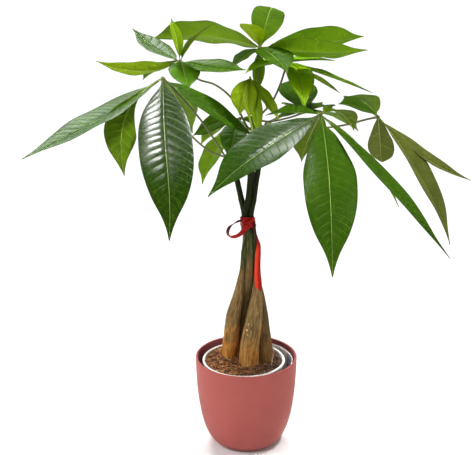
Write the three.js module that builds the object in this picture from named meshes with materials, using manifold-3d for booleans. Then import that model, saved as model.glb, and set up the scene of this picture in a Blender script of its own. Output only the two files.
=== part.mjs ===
// A potted money tree: four young trunks twisted together, tied with a ribbon, in a nursery pot
// that stands in a round-bellied cover pot. Millimetres, +Z up, origin under the middle of the
// cover pot. The front of the plant looks along -Y.
import * as THREE from 'three';
import { mergeVertices } from 'three/addons/utils/BufferGeometryUtils.js';
import Module from 'manifold-3d';

const wasm = await Module();
wasm.setup();

// Cover pot
const COVER_RADIUS = 70;
const COVER_HEIGHT = 128;
const COVER_FOOT_RADIUS = 36;
const COVER_WALL = 3.2;
const COVER_FLOOR = 4;
const COVER_SIDES = 36;

// Nursery pot, which stands a little off the middle of the cover pot
const NURSERY_AT = [-3.5, -3];
const NURSERY_RADIUS = 57;
const NURSERY_TOP = 124;
const NURSERY_BOTTOM_RADIUS = 36;
const NURSERY_WALL = 1.4;
const NURSERY_RIM = 3.4;
const NURSERY_SIDES = 30;
const DRAIN_HOLES = 5;
const DRAIN_HOLE_RADIUS = 4;

// Plant tag, a card between the pots that follows the cover pot's inside
const TAG_FOOT_RADIUS = 59.3;
const TAG_TOP_RADIUS = 64.3;
const TAG_THICKNESS = 0.8;
const TAG_FROM_DEG = -28;
const TAG_TO_DEG = 58;
const TAG_BOTTOM = 46;
const TAG_TOP = 122;
const TAG_STEPS = 16;

// Soil, which lies a little higher at the left and round the edge
const SOIL_TOP = 117.5;
const SOIL_SLOPE = 0.035;
const SOIL_BUMP = 1.1;
const SOIL_DISH = 3;

// Trunks
const TRUNK_SIDES = 10;
const TRUNK_STEP = 13;

// Ribbon
const TIE_Z = 323;
const BAND_HEIGHT = 15;
const BAND_CLEAR = 0.7;
const RIBBON_WIDTH = 10;
const RIBBON_THICKNESS = 0.8;

// Leaves
const BLADE_THICKNESS = 0.9;
const PETIOLE_RADIUS = 1.5;
const PETIOLE_STEP = 20;
const HUB_RADIUS = 3.4;
const BLADE_FOLD = 0.2;

// Gaps that touching pieces keep
const GAP = 0.3;
const ROOT_CLEAR = 0.35;
const PETIOLE_SEAT = 0.4;

const UP = new THREE.Vector3(0, 0, 1);
const degrees = THREE.MathUtils.degToRad;

// Solids

function clean(geometry) {
  const bare = geometry.clone();
  for (const name of Object.keys(bare.attributes)) {
    if (name !== 'position') bare.deleteAttribute(name);
  }
  return mergeVertices(bare, 1e-4);
}

function solid(geometry) {
  const merged = clean(geometry);
  const index = merged.getIndex().array;
  const kept = [];
  for (let i = 0; i < index.length; i += 3) {
    const [a, b, c] = [index[i], index[i + 1], index[i + 2]];
    if (a !== b && b !== c && c !== a) kept.push(a, b, c);
  }
  const mesh = new wasm.Mesh({
    numProp: 3,
    vertProperties: Float32Array.from(merged.attributes.position.array),
    triVerts: Uint32Array.from(kept),
  });
  return new wasm.Manifold(mesh);
}

function geometryOf(body) {
  const mesh = body.getMesh();
  const geometry = new THREE.BufferGeometry();
  geometry.setAttribute('position', new THREE.BufferAttribute(Float32Array.from(mesh.vertProperties), 3));
  geometry.setIndex(new THREE.BufferAttribute(Uint32Array.from(mesh.triVerts), 1));
  return geometry;
}

function fuse(geometries) {
  return geometries.map(solid).reduce((whole, piece) => whole.add(piece));
}

// A closed solid through rings of points, all with the same number of points. The second half of
// each ring is split the other way, so that a thin blade has like triangles on both faces.
function loft(rings) {
  const count = rings[0].length;
  const points = rings.flat();
  const index = [];
  for (let ring = 0; ring + 1 < rings.length; ring += 1) {
    for (let k = 0; k < count; k += 1) {
      const next = (k + 1) % count;
      const a = ring * count + k;
      const b = ring * count + next;
      const c = b + count;
      const d = a + count;
      if (k < count / 2) index.push(a, b, c, a, c, d);
      else index.push(b, c, d, a, b, d);
    }
  }
  const last = (rings.length - 1) * count;
  for (let k = 1; k + 1 < count; k += 1) {
    index.push(0, k + 1, k);
    index.push(last, last + k, last + k + 1);
  }
  const geometry = new THREE.BufferGeometry();
  geometry.setAttribute('position', new THREE.Float32BufferAttribute(points.flatMap((p) => p.toArray()), 3));
  geometry.setIndex(index);
  return geometry;
}

// A round tube along a path, with a radius for each place along it
function tube(path, radiusAt, sides, steps, startSide = new THREE.Vector3(1, 0, 0)) {
  const rings = [];
  let side = startSide.clone();
  for (let i = 0; i <= steps; i += 1) {
    const u = i / steps;
    const centre = path.getPointAt(u);
    const along = path.getTangentAt(u);
    side = side.sub(along.clone().multiplyScalar(side.dot(along))).normalize();
    const across = new THREE.Vector3().crossVectors(along, side);
    const radius = radiusAt(u, centre);
    const ring = [];
    for (let k = 0; k < sides; k += 1) {
      const turn = (2 * Math.PI * k) / sides;
      const point = centre.clone();
      point.addScaledVector(side, radius * Math.cos(turn));
      point.addScaledVector(across, radius * Math.sin(turn));
      ring.push(point);
    }
    rings.push(ring);
  }
  return loft(rings);
}

// A value read from a short list of [place, value] pairs, straight between them
function along(list, place) {
  if (place <= list[0][0]) return list[0][1];
  for (let i = 1; i < list.length; i += 1) {
    const [from, low] = list[i - 1];
    const [to, high] = list[i];
    if (place <= to) return low + ((high - low) * (place - from)) / (to - from);
  }
  return list[list.length - 1][1];
}

// Cover pot

function coverPot() {
  const outer = new THREE.CubicBezierCurve(
    new THREE.Vector2(COVER_FOOT_RADIUS, 0),
    new THREE.Vector2(COVER_RADIUS - 12, 2),
    new THREE.Vector2(COVER_RADIUS - 1, 50),
    new THREE.Vector2(COVER_RADIUS, COVER_HEIGHT - COVER_WALL / 2),
  );
  const steps = 8;
  const outside = outer.getPoints(steps);
  const inside = [];
  for (let i = steps; i >= 2; i -= 1) {
    const tangent = outer.getTangent(i / steps);
    const point = outer.getPoint(i / steps);
    const inset = new THREE.Vector2(point.x - tangent.y * COVER_WALL, point.y + tangent.x * COVER_WALL);
    if (inset.y > COVER_FLOOR + 2) inside.push(inset);
  }
  const lip = [];
  for (const turn of [35, 90, 145]) {
    const middle = COVER_RADIUS - COVER_WALL / 2;
    const out = (COVER_WALL / 2) * Math.cos(degrees(turn));
    const rise = (COVER_WALL / 2) * Math.sin(degrees(turn));
    lip.push(new THREE.Vector2(middle + out, COVER_HEIGHT - COVER_WALL / 2 + rise));
  }
  const floor = [new THREE.Vector2(COVER_FOOT_RADIUS + 6, COVER_FLOOR), new THREE.Vector2(0, COVER_FLOOR)];
  const profile = [new THREE.Vector2(0, 0), ...outside, ...lip, ...inside, ...floor];
  return new THREE.LatheGeometry(profile, COVER_SIDES).rotateX(Math.PI / 2);
}

// Nursery pot

const NURSERY_BASE_Z = COVER_FLOOR + GAP;
const NURSERY_NECK = NURSERY_RADIUS - 1.8;
const NURSERY_RIM_FOOT = NURSERY_TOP - NURSERY_RIM;
const NURSERY_INSIDE = [
  [NURSERY_BASE_Z + NURSERY_WALL, NURSERY_BOTTOM_RADIUS - NURSERY_WALL],
  [NURSERY_RIM_FOOT, NURSERY_NECK - NURSERY_WALL],
];

function nurseryPot() {
  const bottom = NURSERY_BASE_Z;
  const neck = NURSERY_NECK;
  const rimFoot = NURSERY_RIM_FOOT;
  const [[floorHeight, floorInside], [neckHeight, neckInside]] = NURSERY_INSIDE;
  const profile = [
    [0, bottom],
    [NURSERY_BOTTOM_RADIUS - 0.6, bottom],
    [NURSERY_BOTTOM_RADIUS, bottom + 0.8],
    [neck, rimFoot],
    [NURSERY_RADIUS, rimFoot],
    [NURSERY_RADIUS, NURSERY_TOP - 0.6],
    [NURSERY_RADIUS - 0.7, NURSERY_TOP],
    [neckInside + 0.9, NURSERY_TOP],
    [neckInside + 0.3, NURSERY_TOP - 1],
    [neckInside, neckHeight],
    [floorInside, floorHeight],
    [0, floorHeight],
  ].map(([radius, height]) => new THREE.Vector2(radius, height));
  const shell = solid(new THREE.LatheGeometry(profile, NURSERY_SIDES).rotateX(Math.PI / 2));
  const holes = [];
  for (let i = 0; i < DRAIN_HOLES; i += 1) {
    const hole = new THREE.CylinderGeometry(DRAIN_HOLE_RADIUS, DRAIN_HOLE_RADIUS, 6, 8);
    hole.rotateX(Math.PI / 2);
    const turn = (2 * Math.PI * i) / DRAIN_HOLES;
    const ring = 0.6 * NURSERY_BOTTOM_RADIUS;
    hole.translate(ring * Math.cos(turn), ring * Math.sin(turn), bottom);
    holes.push(hole);
  }
  return geometryOf(shell.subtract(fuse(holes)).translate(NURSERY_AT[0], NURSERY_AT[1], 0));
}

// Plant tag

function plantTag() {
  const rings = [];
  for (let i = 0; i <= TAG_STEPS; i += 1) {
    const turn = degrees(TAG_FROM_DEG + ((TAG_TO_DEG - TAG_FROM_DEG) * i) / TAG_STEPS);
    const at = (radius, z) => new THREE.Vector3(radius * Math.cos(turn), radius * Math.sin(turn), z);
    const innerFoot = at(TAG_FOOT_RADIUS - TAG_THICKNESS, TAG_BOTTOM);
    const innerTop = at(TAG_TOP_RADIUS - TAG_THICKNESS, TAG_TOP);
    rings.push([innerFoot, innerTop, at(TAG_TOP_RADIUS, TAG_TOP), at(TAG_FOOT_RADIUS, TAG_BOTTOM)]);
  }
  return loft(rings);
}

// Trunks. They stand apart in the soil, lean together while they turn round each other, touch at
// the tie, and above it each goes its own way to its crown. A course is the trunk's middle line,
// and a girth tells how stout its foot is beside the others'.

const TRUNK_RADIUS = [
  [62, 8], [88, 11.4], [118, 12.4], [150, 11.8], [181, 10.8], [196, 9.4], [211, 8.1], [221, 6.8], [232, 5.7],
  [247, 4.7], [262, 4.3], [283, 4.05], [330, 3.75], [374, 3.5], [480, 2.9],
];

const TRUNKS = {
  left: {
    girth: 0.9,
    course: [
      [-24, 21, 62], [-24, 21, 85], [-24, 21, 112], [-21, 17, 150], [-17.5, 14, 181], [-12, 9, 211],
      [-9, 6.8, 232], [-5, 7.6, 250], [-3.2, 6.6, 275], [-1.2, 5.4, 300], [-3.3, 7.6, 316],
      [-3, 9.7, 330], [-7.5, 8.7, 350], [-11.8, 8, 374], [-17, 7, 400], [-22, 6, 428],
    ],
  },
  front: {
    girth: 1.12,
    course: [
      [3, -5, 62], [3, -5, 85], [3, -5, 112], [5.7, -3.2, 150], [10.5, -1, 181], [14, 1.5, 211],
      [15.6, 3.6, 232], [14.5, 4.5, 250], [13.5, 3.8, 275], [10, 4.5, 300], [7.7, 3.2, 316],
      [5.5, 1.6, 330], [9.4, 4, 353], [12.1, 4.5, 374], [17, 5, 405], [24, 2, 452],
    ],
  },
  right: {
    girth: 1,
    course: [
      [27, 8, 62], [27, 8, 85], [27, 8, 112], [22.3, 16.2, 150], [19, 20.5, 181], [16.8, 19, 211],
      [13.5, 16.5, 232], [8.7, 13.2, 250], [7.8, 10.8, 275], [5, 11.4, 300], [4.7, 10.9, 316],
      [5.3, 9.8, 330], [5, 12, 353], [6, 14, 374], [8, 15, 410], [9, 15, 470],
    ],
  },
  back: {
    girth: 1,
    course: [
      [0, 27, 62], [1, 32, 85], [1, 33, 112], [-2, 32, 150], [-3, 30, 181], [0, 20.5, 211],
      [3.6, 7.5, 232], [3.3, -0.2, 250], [4.4, -0.8, 275], [4, -1.8, 300], [0.1, -0.3, 316],
      [-3.2, 1.2, 330], [1.9, 0.2, 353], [3.9, -1.5, 374], [6, -6, 410], [8, -12, 462],
    ],
  },
};

function trunkRadius({ girth }, height) {
  const share = THREE.MathUtils.clamp((TIE_Z - height) / (TIE_Z - SOIL_TOP), 0, 1);
  return along(TRUNK_RADIUS, height) * (1 + (girth - 1) * share);
}

function trunkPath({ course }, deeper = 0) {
  const points = course.map((point) => new THREE.Vector3(...point));
  points[0].z -= deeper;
  return new THREE.CatmullRomCurve3(points, false, 'centripetal');
}

// A trunk, or with extra the room that it takes up in the soil
function trunk(shape, extra = 0) {
  const path = trunkPath(shape, extra);
  const steps = Math.round(path.getLength() / TRUNK_STEP);
  const radiusAt = (u, centre) => trunkRadius(shape, centre.z) + extra;
  return tube(path, radiusAt, TRUNK_SIDES, steps);
}

// The point of a trunk's middle line at a height
function trunkAt(shape, height) {
  const path = trunkPath(shape);
  let [low, high] = [0, 1];
  for (let i = 0; i < 24; i += 1) {
    const middle = (low + high) / 2;
    if (path.getPointAt(middle).z < height) low = middle;
    else high = middle;
  }
  return path.getPointAt(low);
}

// Soil

function soil() {
  const low = NURSERY_INSIDE[0][0] + GAP;
  const inside = (height) => along(NURSERY_INSIDE, height) - GAP;
  const edge = inside(SOIL_TOP - 3);
  const profile = [[0, low], [inside(low), low], [edge, SOIL_TOP - 3]];
  for (const share of [0.985, 0.86, 0.66, 0.44, 0.2, 0]) profile.push([edge * share, SOIL_TOP]);
  const shape = new THREE.LatheGeometry(profile.map(([r, z]) => new THREE.Vector2(r, z)), NURSERY_SIDES);
  shape.rotateX(Math.PI / 2);
  const place = shape.attributes.position;
  for (let i = 0; i < place.count; i += 1) {
    if (place.getZ(i) < SOIL_TOP - 0.1) continue;
    const [x, y] = [place.getX(i), place.getY(i)];
    const bump = Math.sin(x * 0.55 + 1) * Math.cos(y * 0.47) + 0.6 * Math.sin(y * 0.9 + x * 0.31);
    const rise = SOIL_DISH * (Math.hypot(x, y) / edge) ** 3;
    place.setZ(i, SOIL_TOP + rise - SOIL_SLOPE * x + SOIL_BUMP * bump);
  }
  const filled = solid(shape).translate(NURSERY_AT[0], NURSERY_AT[1], 0);
  const roots = Object.values(TRUNKS).map((one) => trunk(one, ROOT_CLEAR));
  return geometryOf(filled.subtract(fuse(roots)));
}

// Ribbon: a band round the trunks, a knot at the front, a loop to the left and a tail to the right

function strip(points, sides, width, thickness, steps) {
  const path = new THREE.CatmullRomCurve3(points.map((p) => new THREE.Vector3(...p)), false, 'centripetal');
  const turns = new THREE.CatmullRomCurve3(sides.map((p) => new THREE.Vector3(...p)), false, 'centripetal');
  const rings = [];
  for (let i = 0; i <= steps; i += 1) {
    const u = i / steps;
    const centre = path.getPoint(u);
    const tangent = path.getTangent(u);
    const side = turns.getPoint(u);
    side.addScaledVector(tangent, -side.dot(tangent)).normalize();
    const face = new THREE.Vector3().crossVectors(side, tangent);
    const corner = (a, b) => centre.clone().addScaledVector(side, (a * width) / 2)
      .addScaledVector(face, (b * thickness) / 2);
    rings.push([corner(-1, 1), corner(1, 1), corner(1, -1), corner(-1, -1)]);
  }
  return loft(rings);
}

// The wall of the band at three heights: round each trunk, seen from the middle of them all
function bandWall(extra, low, high) {
  const rings = [];
  for (const height of [low, (low + high) / 2, high]) {
    const ring = [];
    const trunks = Object.values(TRUNKS).map((one) => ({ centre: trunkAt(one, height), shape: one }));
    const middle = new THREE.Vector3();
    for (const { centre } of trunks) middle.addScaledVector(centre, 1 / trunks.length);
    for (const one of trunks) one.turn = Math.atan2(one.centre.y - middle.y, one.centre.x - middle.x);
    trunks.sort((a, b) => a.turn - b.turn);
    for (const { centre, shape, turn } of trunks) {
      const reach = trunkRadius(shape, height) + extra;
      for (const swing of [-38, -13, 13, 38]) {
        const angle = turn + degrees(swing);
        const x = centre.x + reach * Math.cos(angle);
        const y = centre.y + reach * Math.sin(angle);
        ring.push(new THREE.Vector3(x, y, height));
      }
    }
    rings.push(ring);
  }
  return loft(rings);
}

// The loop's and the tail's middle lines, and which way their width lies on the way
const LOOP = [
  [2, -6.3, 319], [-3, -7.6, 314.5], [-9, -8.8, 308.5], [-17, -9, 303], [-24, -9, 304.5], [-26, -8.5, 309],
  [-24, -7.5, 315], [-19, -6, 320], [-12, -4.5, 324], [-5.5, -1.5, 325],
];
const LOOP_SIDES = [
  [-0.6, -0.2, 0.8], [-0.5, -0.3, 0.8], [-0.2, -0.5, 0.8], [0.1, -0.6, 0.7], [0.1, -0.9, 0.3], [0, -1, 0.1],
  [0, -0.9, 0.3], [0, -0.9, 0.3], [0, -0.9, 0.3], [0, -0.8, 0.5],
];
const TAIL = [
  [5, -5, 322], [9.5, -4.2, 315], [12, -3.2, 307], [14.2, -2.2, 299], [16.4, -1.6, 290], [15.8, -1.8, 280],
  [15, -1.8, 262], [15, -2.2, 248], [16.3, -4.4, 228],
];
const TAIL_SIDES = [
  [0.6, -0.3, 0.6], [0.8, 0.1, 0.5], [0.85, 0.4, 0.3], [0.85, 0.4, 0.2], [0.95, 0.3, 0], [1, 0.2, 0],
  [1, 0.1, 0], [1, 0.1, 0], [0.97, 0, 0.1],
];
const KNOT_AT = [2.2, -4.4, 321];

function ribbon() {
  const low = TIE_Z - BAND_HEIGHT / 2;
  const high = TIE_Z + BAND_HEIGHT / 2;
  const outer = solid(bandWall(BAND_CLEAR + RIBBON_THICKNESS, low, high));
  const inner = solid(bandWall(BAND_CLEAR, low - 1, high + 1));
  const knot = new THREE.IcosahedronGeometry(1, 1).scale(4.2, 1.4, 4.8);
  knot.translate(...KNOT_AT);
  const loop = strip(LOOP, LOOP_SIDES, RIBBON_WIDTH, RIBBON_THICKNESS, 18);
  const tail = strip(TAIL, TAIL_SIDES, RIBBON_WIDTH, RIBBON_THICKNESS, 16);
  const band = outer.subtract(inner);
  return geometryOf(band.add(fuse([knot, loop, tail]).subtract(inner)));
}

// Leaves. Each leaflet is given by the place of its tip from the hub, its width, how far its
// middle bows out of the straight line, how far it sways to the side, and which way its upper
// side looks. An outline holds half widths along the blade, as shares of half the whole width.

const BLADE_OUTLINE = [
  [0, 0.05], [0.06, 0.05], [0.16, 0.42], [0.3, 0.78], [0.47, 1], [0.62, 0.94], [0.77, 0.64], [0.89, 0.24],
  [1, 0.03],
];
const BROAD_OUTLINE = [
  [0, 0.05], [0.04, 0.18], [0.12, 0.62], [0.24, 0.88], [0.42, 1], [0.6, 0.96], [0.77, 0.68], [0.89, 0.28],
  [1, 0.03],
];
const SPOON_OUTLINE = [
  [0, 0.05], [0.06, 0.14], [0.2, 0.4], [0.36, 0.64], [0.55, 0.9], [0.7, 1], [0.83, 0.92], [0.94, 0.6],
  [1, 0.12],
];

function leaflet(hub, { tip, width, bow, sway = 0, face = [0, 0, 1], outline = BLADE_OUTLINE }) {
  const start = hub.clone();
  const reach = new THREE.Vector3(...tip);
  const length = reach.length();
  const axis = reach.clone().normalize();
  const look = new THREE.Vector3(...face);
  const out = look.clone().addScaledVector(axis, -look.dot(axis)).normalize();
  const across = new THREE.Vector3().crossVectors(axis, look).normalize();
  const middle = start.clone().addScaledVector(reach, 0.5);
  middle.addScaledVector(out, 2 * (bow ?? 0.05 * length)).addScaledVector(across, 2 * sway);
  const rib = new THREE.QuadraticBezierCurve3(start, middle, start.clone().add(reach));
  const rings = [];
  for (const [place, share] of outline) {
    const centre = rib.getPoint(place);
    const tangent = rib.getTangent(place);
    const side = new THREE.Vector3().crossVectors(tangent, look).normalize();
    const normal = new THREE.Vector3().crossVectors(side, tangent);
    const half = Math.max((share * width) / 2, 0.7);
    const corner = (a, b) => centre.clone().addScaledVector(side, a * half)
      .addScaledVector(normal, Math.abs(a) * half * BLADE_FOLD + (b * BLADE_THICKNESS) / 2);
    rings.push([corner(-1, 1), corner(0, 1), corner(1, 1), corner(1, -1), corner(0, -1), corner(-1, -1)]);
  }
  return loft(rings);
}

function leaf({ from, height, turn, via, hub, leaflets }) {
  const shape = TRUNKS[from];
  const middle = trunkAt(shape, height);
  const grain = trunkAt(shape, height + 1).sub(middle).normalize();
  const out = new THREE.Vector3(Math.cos(degrees(turn)), Math.sin(degrees(turn)), 0);
  out.addScaledVector(grain, -out.dot(grain)).normalize();
  const flats = trunkRadius(shape, height) * Math.cos(Math.PI / TRUNK_SIDES);
  const foot = middle.clone().addScaledVector(out, flats + PETIOLE_SEAT);
  const socket = foot.clone().addScaledVector(out, 2);
  const knee = foot.clone().addScaledVector(out, 6).addScaledVector(UP, 5);
  const end = new THREE.Vector3(...hub);
  const points = [foot, socket, knee, ...via.map((p) => new THREE.Vector3(...p)), end];
  const path = new THREE.CatmullRomCurve3(points, false, 'centripetal');
  const steps = Math.max(6, Math.round(path.getLength() / PETIOLE_STEP));
  const radiusAt = (u) => along([[0, 2.2], [0.08, PETIOLE_RADIUS], [0.9, PETIOLE_RADIUS], [1, 2.2]], u);
  const petiole = tube(path, radiusAt, 6, steps);
  const knob = new THREE.OctahedronGeometry(HUB_RADIUS, 1).translate(...hub);
  const blades = leaflets.map((one) => leaflet(end, one));
  return geometryOf(fuse([petiole, knob, ...blades]));
}

const LEAVES = {
  a: {
    from: 'left', height: 388, turn: 255, via: [[-29, -20, 420], [-59, -42, 473], [-86, -62, 510]],
    hub: [-103, -70, 531],
    leaflets: [
      { tip: [-155, -120, -70], width: 52, bow: -6 },
      { tip: [-43, -70, -104], width: 42, bow: 4, sway: -26, face: [-0.3, 1, 0.3] },
      { tip: [14, -141, -161], width: 64 },
      { tip: [115, 20, -80], width: 36, bow: -1, face: [0, -0.4, 1] },
      { tip: [33, 62, -85], width: 38 },
    ],
  },
  b: {
    from: 'back', height: 452, turn: 160, via: [[-19, -2, 490], [-41, 5, 507], [-64, 9, 514]],
    hub: [-86, 10, 537],
    leaflets: [
      { tip: [-68, 82, 28], width: 38, bow: -6 },
      { tip: [-6, -69, 65], width: 15, face: [0.3, 1, 0.6] },
      { tip: [44, -55, 56], width: 21, face: [-0.9, 0.6, 0.6] },
      { tip: [-98, -76, 14], width: 31, bow: -14, face: [0, 1.2, 1] },
      { tip: [85, -78, 4], width: 38, bow: -4, face: [0, -0.35, 1] },
      { tip: [13, -60, -25], width: 40 },
      { tip: [-55, 74, -40], width: 36 },
    ],
  },
  c: {
    from: 'back', height: 456, turn: 60, via: [[14, -2, 490], [15, 0, 525]],
    hub: [16, -6, 557],
    leaflets: [
      { tip: [-145, 106, -8], width: 60, bow: 11, face: [0.2, 0.8, 1], outline: BROAD_OUTLINE },
      { tip: [16, 147, 14], width: 42, bow: 31, face: [0.22, 0, 1], outline: BROAD_OUTLINE },
      { tip: [-21, -54, 39], width: 30, bow: 6 },
      { tip: [136, 50, 6], width: 56, bow: -4, face: [0, 1.2, 1] },
      { tip: [128, -87, 13], width: 48, bow: -4, face: [0, 1, 1] },
      { tip: [-36, -32, -20], width: 24 },
      { tip: [33, -93, -14], width: 44 },
      { tip: [-2, 14, -60], width: 16, bow: 0, face: [0, -1, 0.2] },
    ],
  },
  d: {
    from: 'right', height: 460, turn: 0, via: [[32, 12, 482], [43, 15, 505]],
    hub: [52, 20, 534],
    leaflets: [
      { tip: [18, -108, -37], width: 34, bow: 12, sway: -4 },
      { tip: [115, 30, -47], width: 34, bow: 1 },
      { tip: [73, 42, -50], width: 30, bow: 0 },
      { tip: [-55, -72, -1], width: 22, bow: 6, face: [0, -0.2, 1] },
      { tip: [66, 55, -9], width: 36, bow: 2 },
    ],
  },
  e: {
    from: 'front', height: 400, turn: -60, via: [[34, -34, 420], [55, -64, 444], [72, -95, 474]],
    hub: [88, -120, 498],
    leaflets: [
      { tip: [7, -157, -147], width: 62, sway: -2, face: [0.05, 0, 1] },
      { tip: [-131, -120, -66], width: 60, bow: 8, face: [0, -0.3, 1] },
      { tip: [136, -153, -126], width: 44, bow: 4, sway: 3, face: [0.4, 0.1, 1] },
      { tip: [-66, 10, -4], width: 40 },
      { tip: [46, 63, -36], width: 36, bow: 13 },
      { tip: [101, 21, -123], width: 34, bow: 9 },
      { tip: [-19, 63, -76], width: 40 },
    ],
  },
  g: {
    from: 'front', height: 445, turn: 10, via: [[60, -2, 449], [123, 2, 454], [155, 7, 461]],
    hub: [171, 10, 464],
    leaflets: [
      { tip: [12, 40, -72], width: 36, bow: 0, outline: SPOON_OUTLINE },
      { tip: [98, -31, -166], width: 54, bow: 12, face: [0.3, -0.2, 1] },
      { tip: [133, 34, -96], width: 40, bow: -10, face: [0.2, -0.25, 1] },
      { tip: [-36, 82, 8], width: 44, bow: 8 },
      { tip: [-57, -62, 31], width: 38, face: [0, -0.6, 1] },
    ],
  },
  h: {
    from: 'left', height: 420, turn: 60, via: [[-14, 26, 442]],
    hub: [-9, 30, 457],
    leaflets: [
      { tip: [-64, 30, -32], width: 38, bow: 6, face: [0, -0.6, 1] },
      { tip: [-56, 76, -57], width: 34 },
      { tip: [-53, 52, -107], width: 46 },
      { tip: [-14, -94, -32], width: 34 },
      { tip: [47, 52, -44], width: 34, face: [0, -0.5, 1] },
    ],
  },
  i: {
    from: 'back', height: 452, turn: 265, via: [[2, -31, 480], [3, -36, 505]],
    hub: [4, -34, 525],
    leaflets: [
      { tip: [-13, -31, -42], width: 32, bow: 4, face: [-0.3, -1, 0.7] },
      { tip: [-1, -47, -45], width: 18, bow: 5, face: [0, -1, 0.9] },
      { tip: [9, -54, -68], width: 16, bow: 9, face: [0.3, -1, 0.7] },
      { tip: [37, -36, -48], width: 22, bow: 1, face: [0.6, -0.5, 0.8] },
      { tip: [-17, 8, -34], width: 22 },
      { tip: [22, 6, -44], width: 22 },
    ],
  },
  k: {
    from: 'right', height: 450, turn: 60, via: [[30, 32, 452], [60, 42, 456]],
    hub: [77, 45, 462],
    leaflets: [
      { tip: [-18, 73, 28], width: 54 },
      { tip: [42, 77, -12], width: 40 },
      { tip: [1, 167, -43], width: 58 },
      { tip: [84, 120, -56], width: 44 },
      { tip: [-52, 95, -46], width: 40, face: [0, -0.6, 1] },
    ],
  },
  l: {
    from: 'left', height: 405, turn: 165, via: [[-48, 19, 414], [-84, 46, 441]],
    hub: [-100, 80, 470],
    leaflets: [
      { tip: [-40, 80, -107], width: 44 },
      { tip: [-29, 150, -135], width: 50 },
      { tip: [22, 100, -52], width: 34 },
    ],
  },
};

// Colours

const COLOURS = {
  cover: [0xb8645c, 0.55],
  nursery: [0xe9e6e2, 0.45],
  tag: [0xf1eee8, 0.4],
  soil: [0x6b3f22, 0.95],
  bark: [0x7b6440, 0.85],
  ribbon: [0xb81410, 0.35],
  leaf: [0x3e6905, 0.4],
  young: [0x96b905, 0.45],
  olive: [0x5f6928, 0.6],
};

// The whole plant

const group = new THREE.Group();

function addPiece(name, geometry, look) {
  const [color, roughness] = COLOURS[look];
  const mesh = new THREE.Mesh(geometry, new THREE.MeshStandardMaterial({ color, roughness, metalness: 0 }));
  mesh.name = name;
  group.add(mesh);
}

addPiece('cachepot', coverPot(), 'cover');
addPiece('nursery_pot', nurseryPot(), 'nursery');
addPiece('plant_tag', plantTag(), 'tag');
addPiece('soil', soil(), 'soil');
for (const [name, shape] of Object.entries(TRUNKS)) addPiece(`trunk_${name}`, trunk(shape), 'bark');
addPiece('ribbon', ribbon(), 'ribbon');
const LOOKS = { g: 'olive', i: 'young' };
for (const [name, shape] of Object.entries(LEAVES)) {
  addPiece(`leaf_${name}`, leaf(shape), LOOKS[name] ?? 'leaf');
}

export default group;
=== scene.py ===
"""The looks of a potted money tree: twisted trunks, palmate leaves, a ribbon and two pots.

Lengths are in millimetres in every shape function, and become metres when a mesh is made.
+Z is up, and the front of the plant looks along -Y.
"""
import math
import random

import bpy
import numpy as np
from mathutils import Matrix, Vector, noise


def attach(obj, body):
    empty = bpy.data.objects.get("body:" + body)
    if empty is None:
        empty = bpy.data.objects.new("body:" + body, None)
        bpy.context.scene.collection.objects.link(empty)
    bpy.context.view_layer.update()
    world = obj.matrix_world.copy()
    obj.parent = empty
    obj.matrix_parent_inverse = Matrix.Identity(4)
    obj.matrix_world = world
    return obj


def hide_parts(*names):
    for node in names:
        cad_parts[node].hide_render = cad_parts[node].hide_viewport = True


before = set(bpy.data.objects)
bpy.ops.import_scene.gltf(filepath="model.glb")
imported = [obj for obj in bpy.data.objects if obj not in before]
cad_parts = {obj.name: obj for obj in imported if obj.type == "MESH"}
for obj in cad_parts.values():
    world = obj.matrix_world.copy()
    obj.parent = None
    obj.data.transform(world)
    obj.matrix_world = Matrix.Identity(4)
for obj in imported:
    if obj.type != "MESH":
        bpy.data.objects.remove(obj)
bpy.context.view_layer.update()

MM = 0.001
UP = np.array([0.0, 0.0, 1.0])


# Camera. Its distance is a choice, and the rest puts the cover pot's rim where the photo has it

PHOTO_WIDTH_PX = 475
FOCAL_PX = 1186.1
SENSOR_WIDTH = 36.0
CAMERA_AT = (0.0, -1.5, 0.8234)
CAMERA_DOWN_DEG = 18.735
CAMERA_TURN_DEG = 0.462


def make_camera():
    data = bpy.data.cameras.new("camera")
    data.sensor_fit = "HORIZONTAL"
    data.sensor_width = SENSOR_WIDTH
    data.lens = FOCAL_PX / PHOTO_WIDTH_PX * SENSOR_WIDTH
    data.clip_end = 50
    camera = bpy.data.objects.new("camera", data)
    camera.location = CAMERA_AT
    camera.rotation_euler = (math.radians(90 - CAMERA_DOWN_DEG), 0, math.radians(CAMERA_TURN_DEG))
    bpy.context.collection.objects.link(camera)
    bpy.context.scene.camera = camera


# Curves

def smooth_path(points, per_span=20):
    """The centripetal Catmull-Rom curve through the points, as a dense list of places."""
    p = [np.array(point, float) for point in points]
    p = [2 * p[0] - p[1], *p, 2 * p[-1] - p[-2]]
    dense = [p[1]]
    for i in range(1, len(p) - 2):
        p0, p1, p2, p3 = p[i - 1:i + 3]
        d0, d1, d2 = [math.sqrt(np.linalg.norm(b - a)) for a, b in ((p0, p1), (p1, p2), (p2, p3))]
        m1 = ((p1 - p0) / d0 - (p2 - p0) / (d0 + d1) + (p2 - p1) / d1) * d1
        m2 = ((p2 - p1) / d1 - (p3 - p1) / (d1 + d2) + (p3 - p2) / d2) * d1
        for k in range(1, per_span + 1):
            t = k / per_span
            blend = (2 * t**3 - 3 * t**2 + 1) * p1 + (3 * t**2 - 2 * t**3) * p2
            dense.append(blend + (t**3 - 2 * t**2 + t) * m1 + (t**3 - t**2) * m2)
    return np.array(dense)


def spaced(dense, count):
    """The places and directions of count points spread evenly along a dense path."""
    steps = np.linalg.norm(np.diff(dense, axis=0), axis=1)
    lengths = np.concatenate([[0], np.cumsum(steps)])
    at = np.linspace(0, lengths[-1], count)
    places = np.stack([np.interp(at, lengths, dense[:, k]) for k in range(3)], axis=1)
    tangents = np.gradient(places, axis=0)
    return places, unit(tangents)


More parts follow.
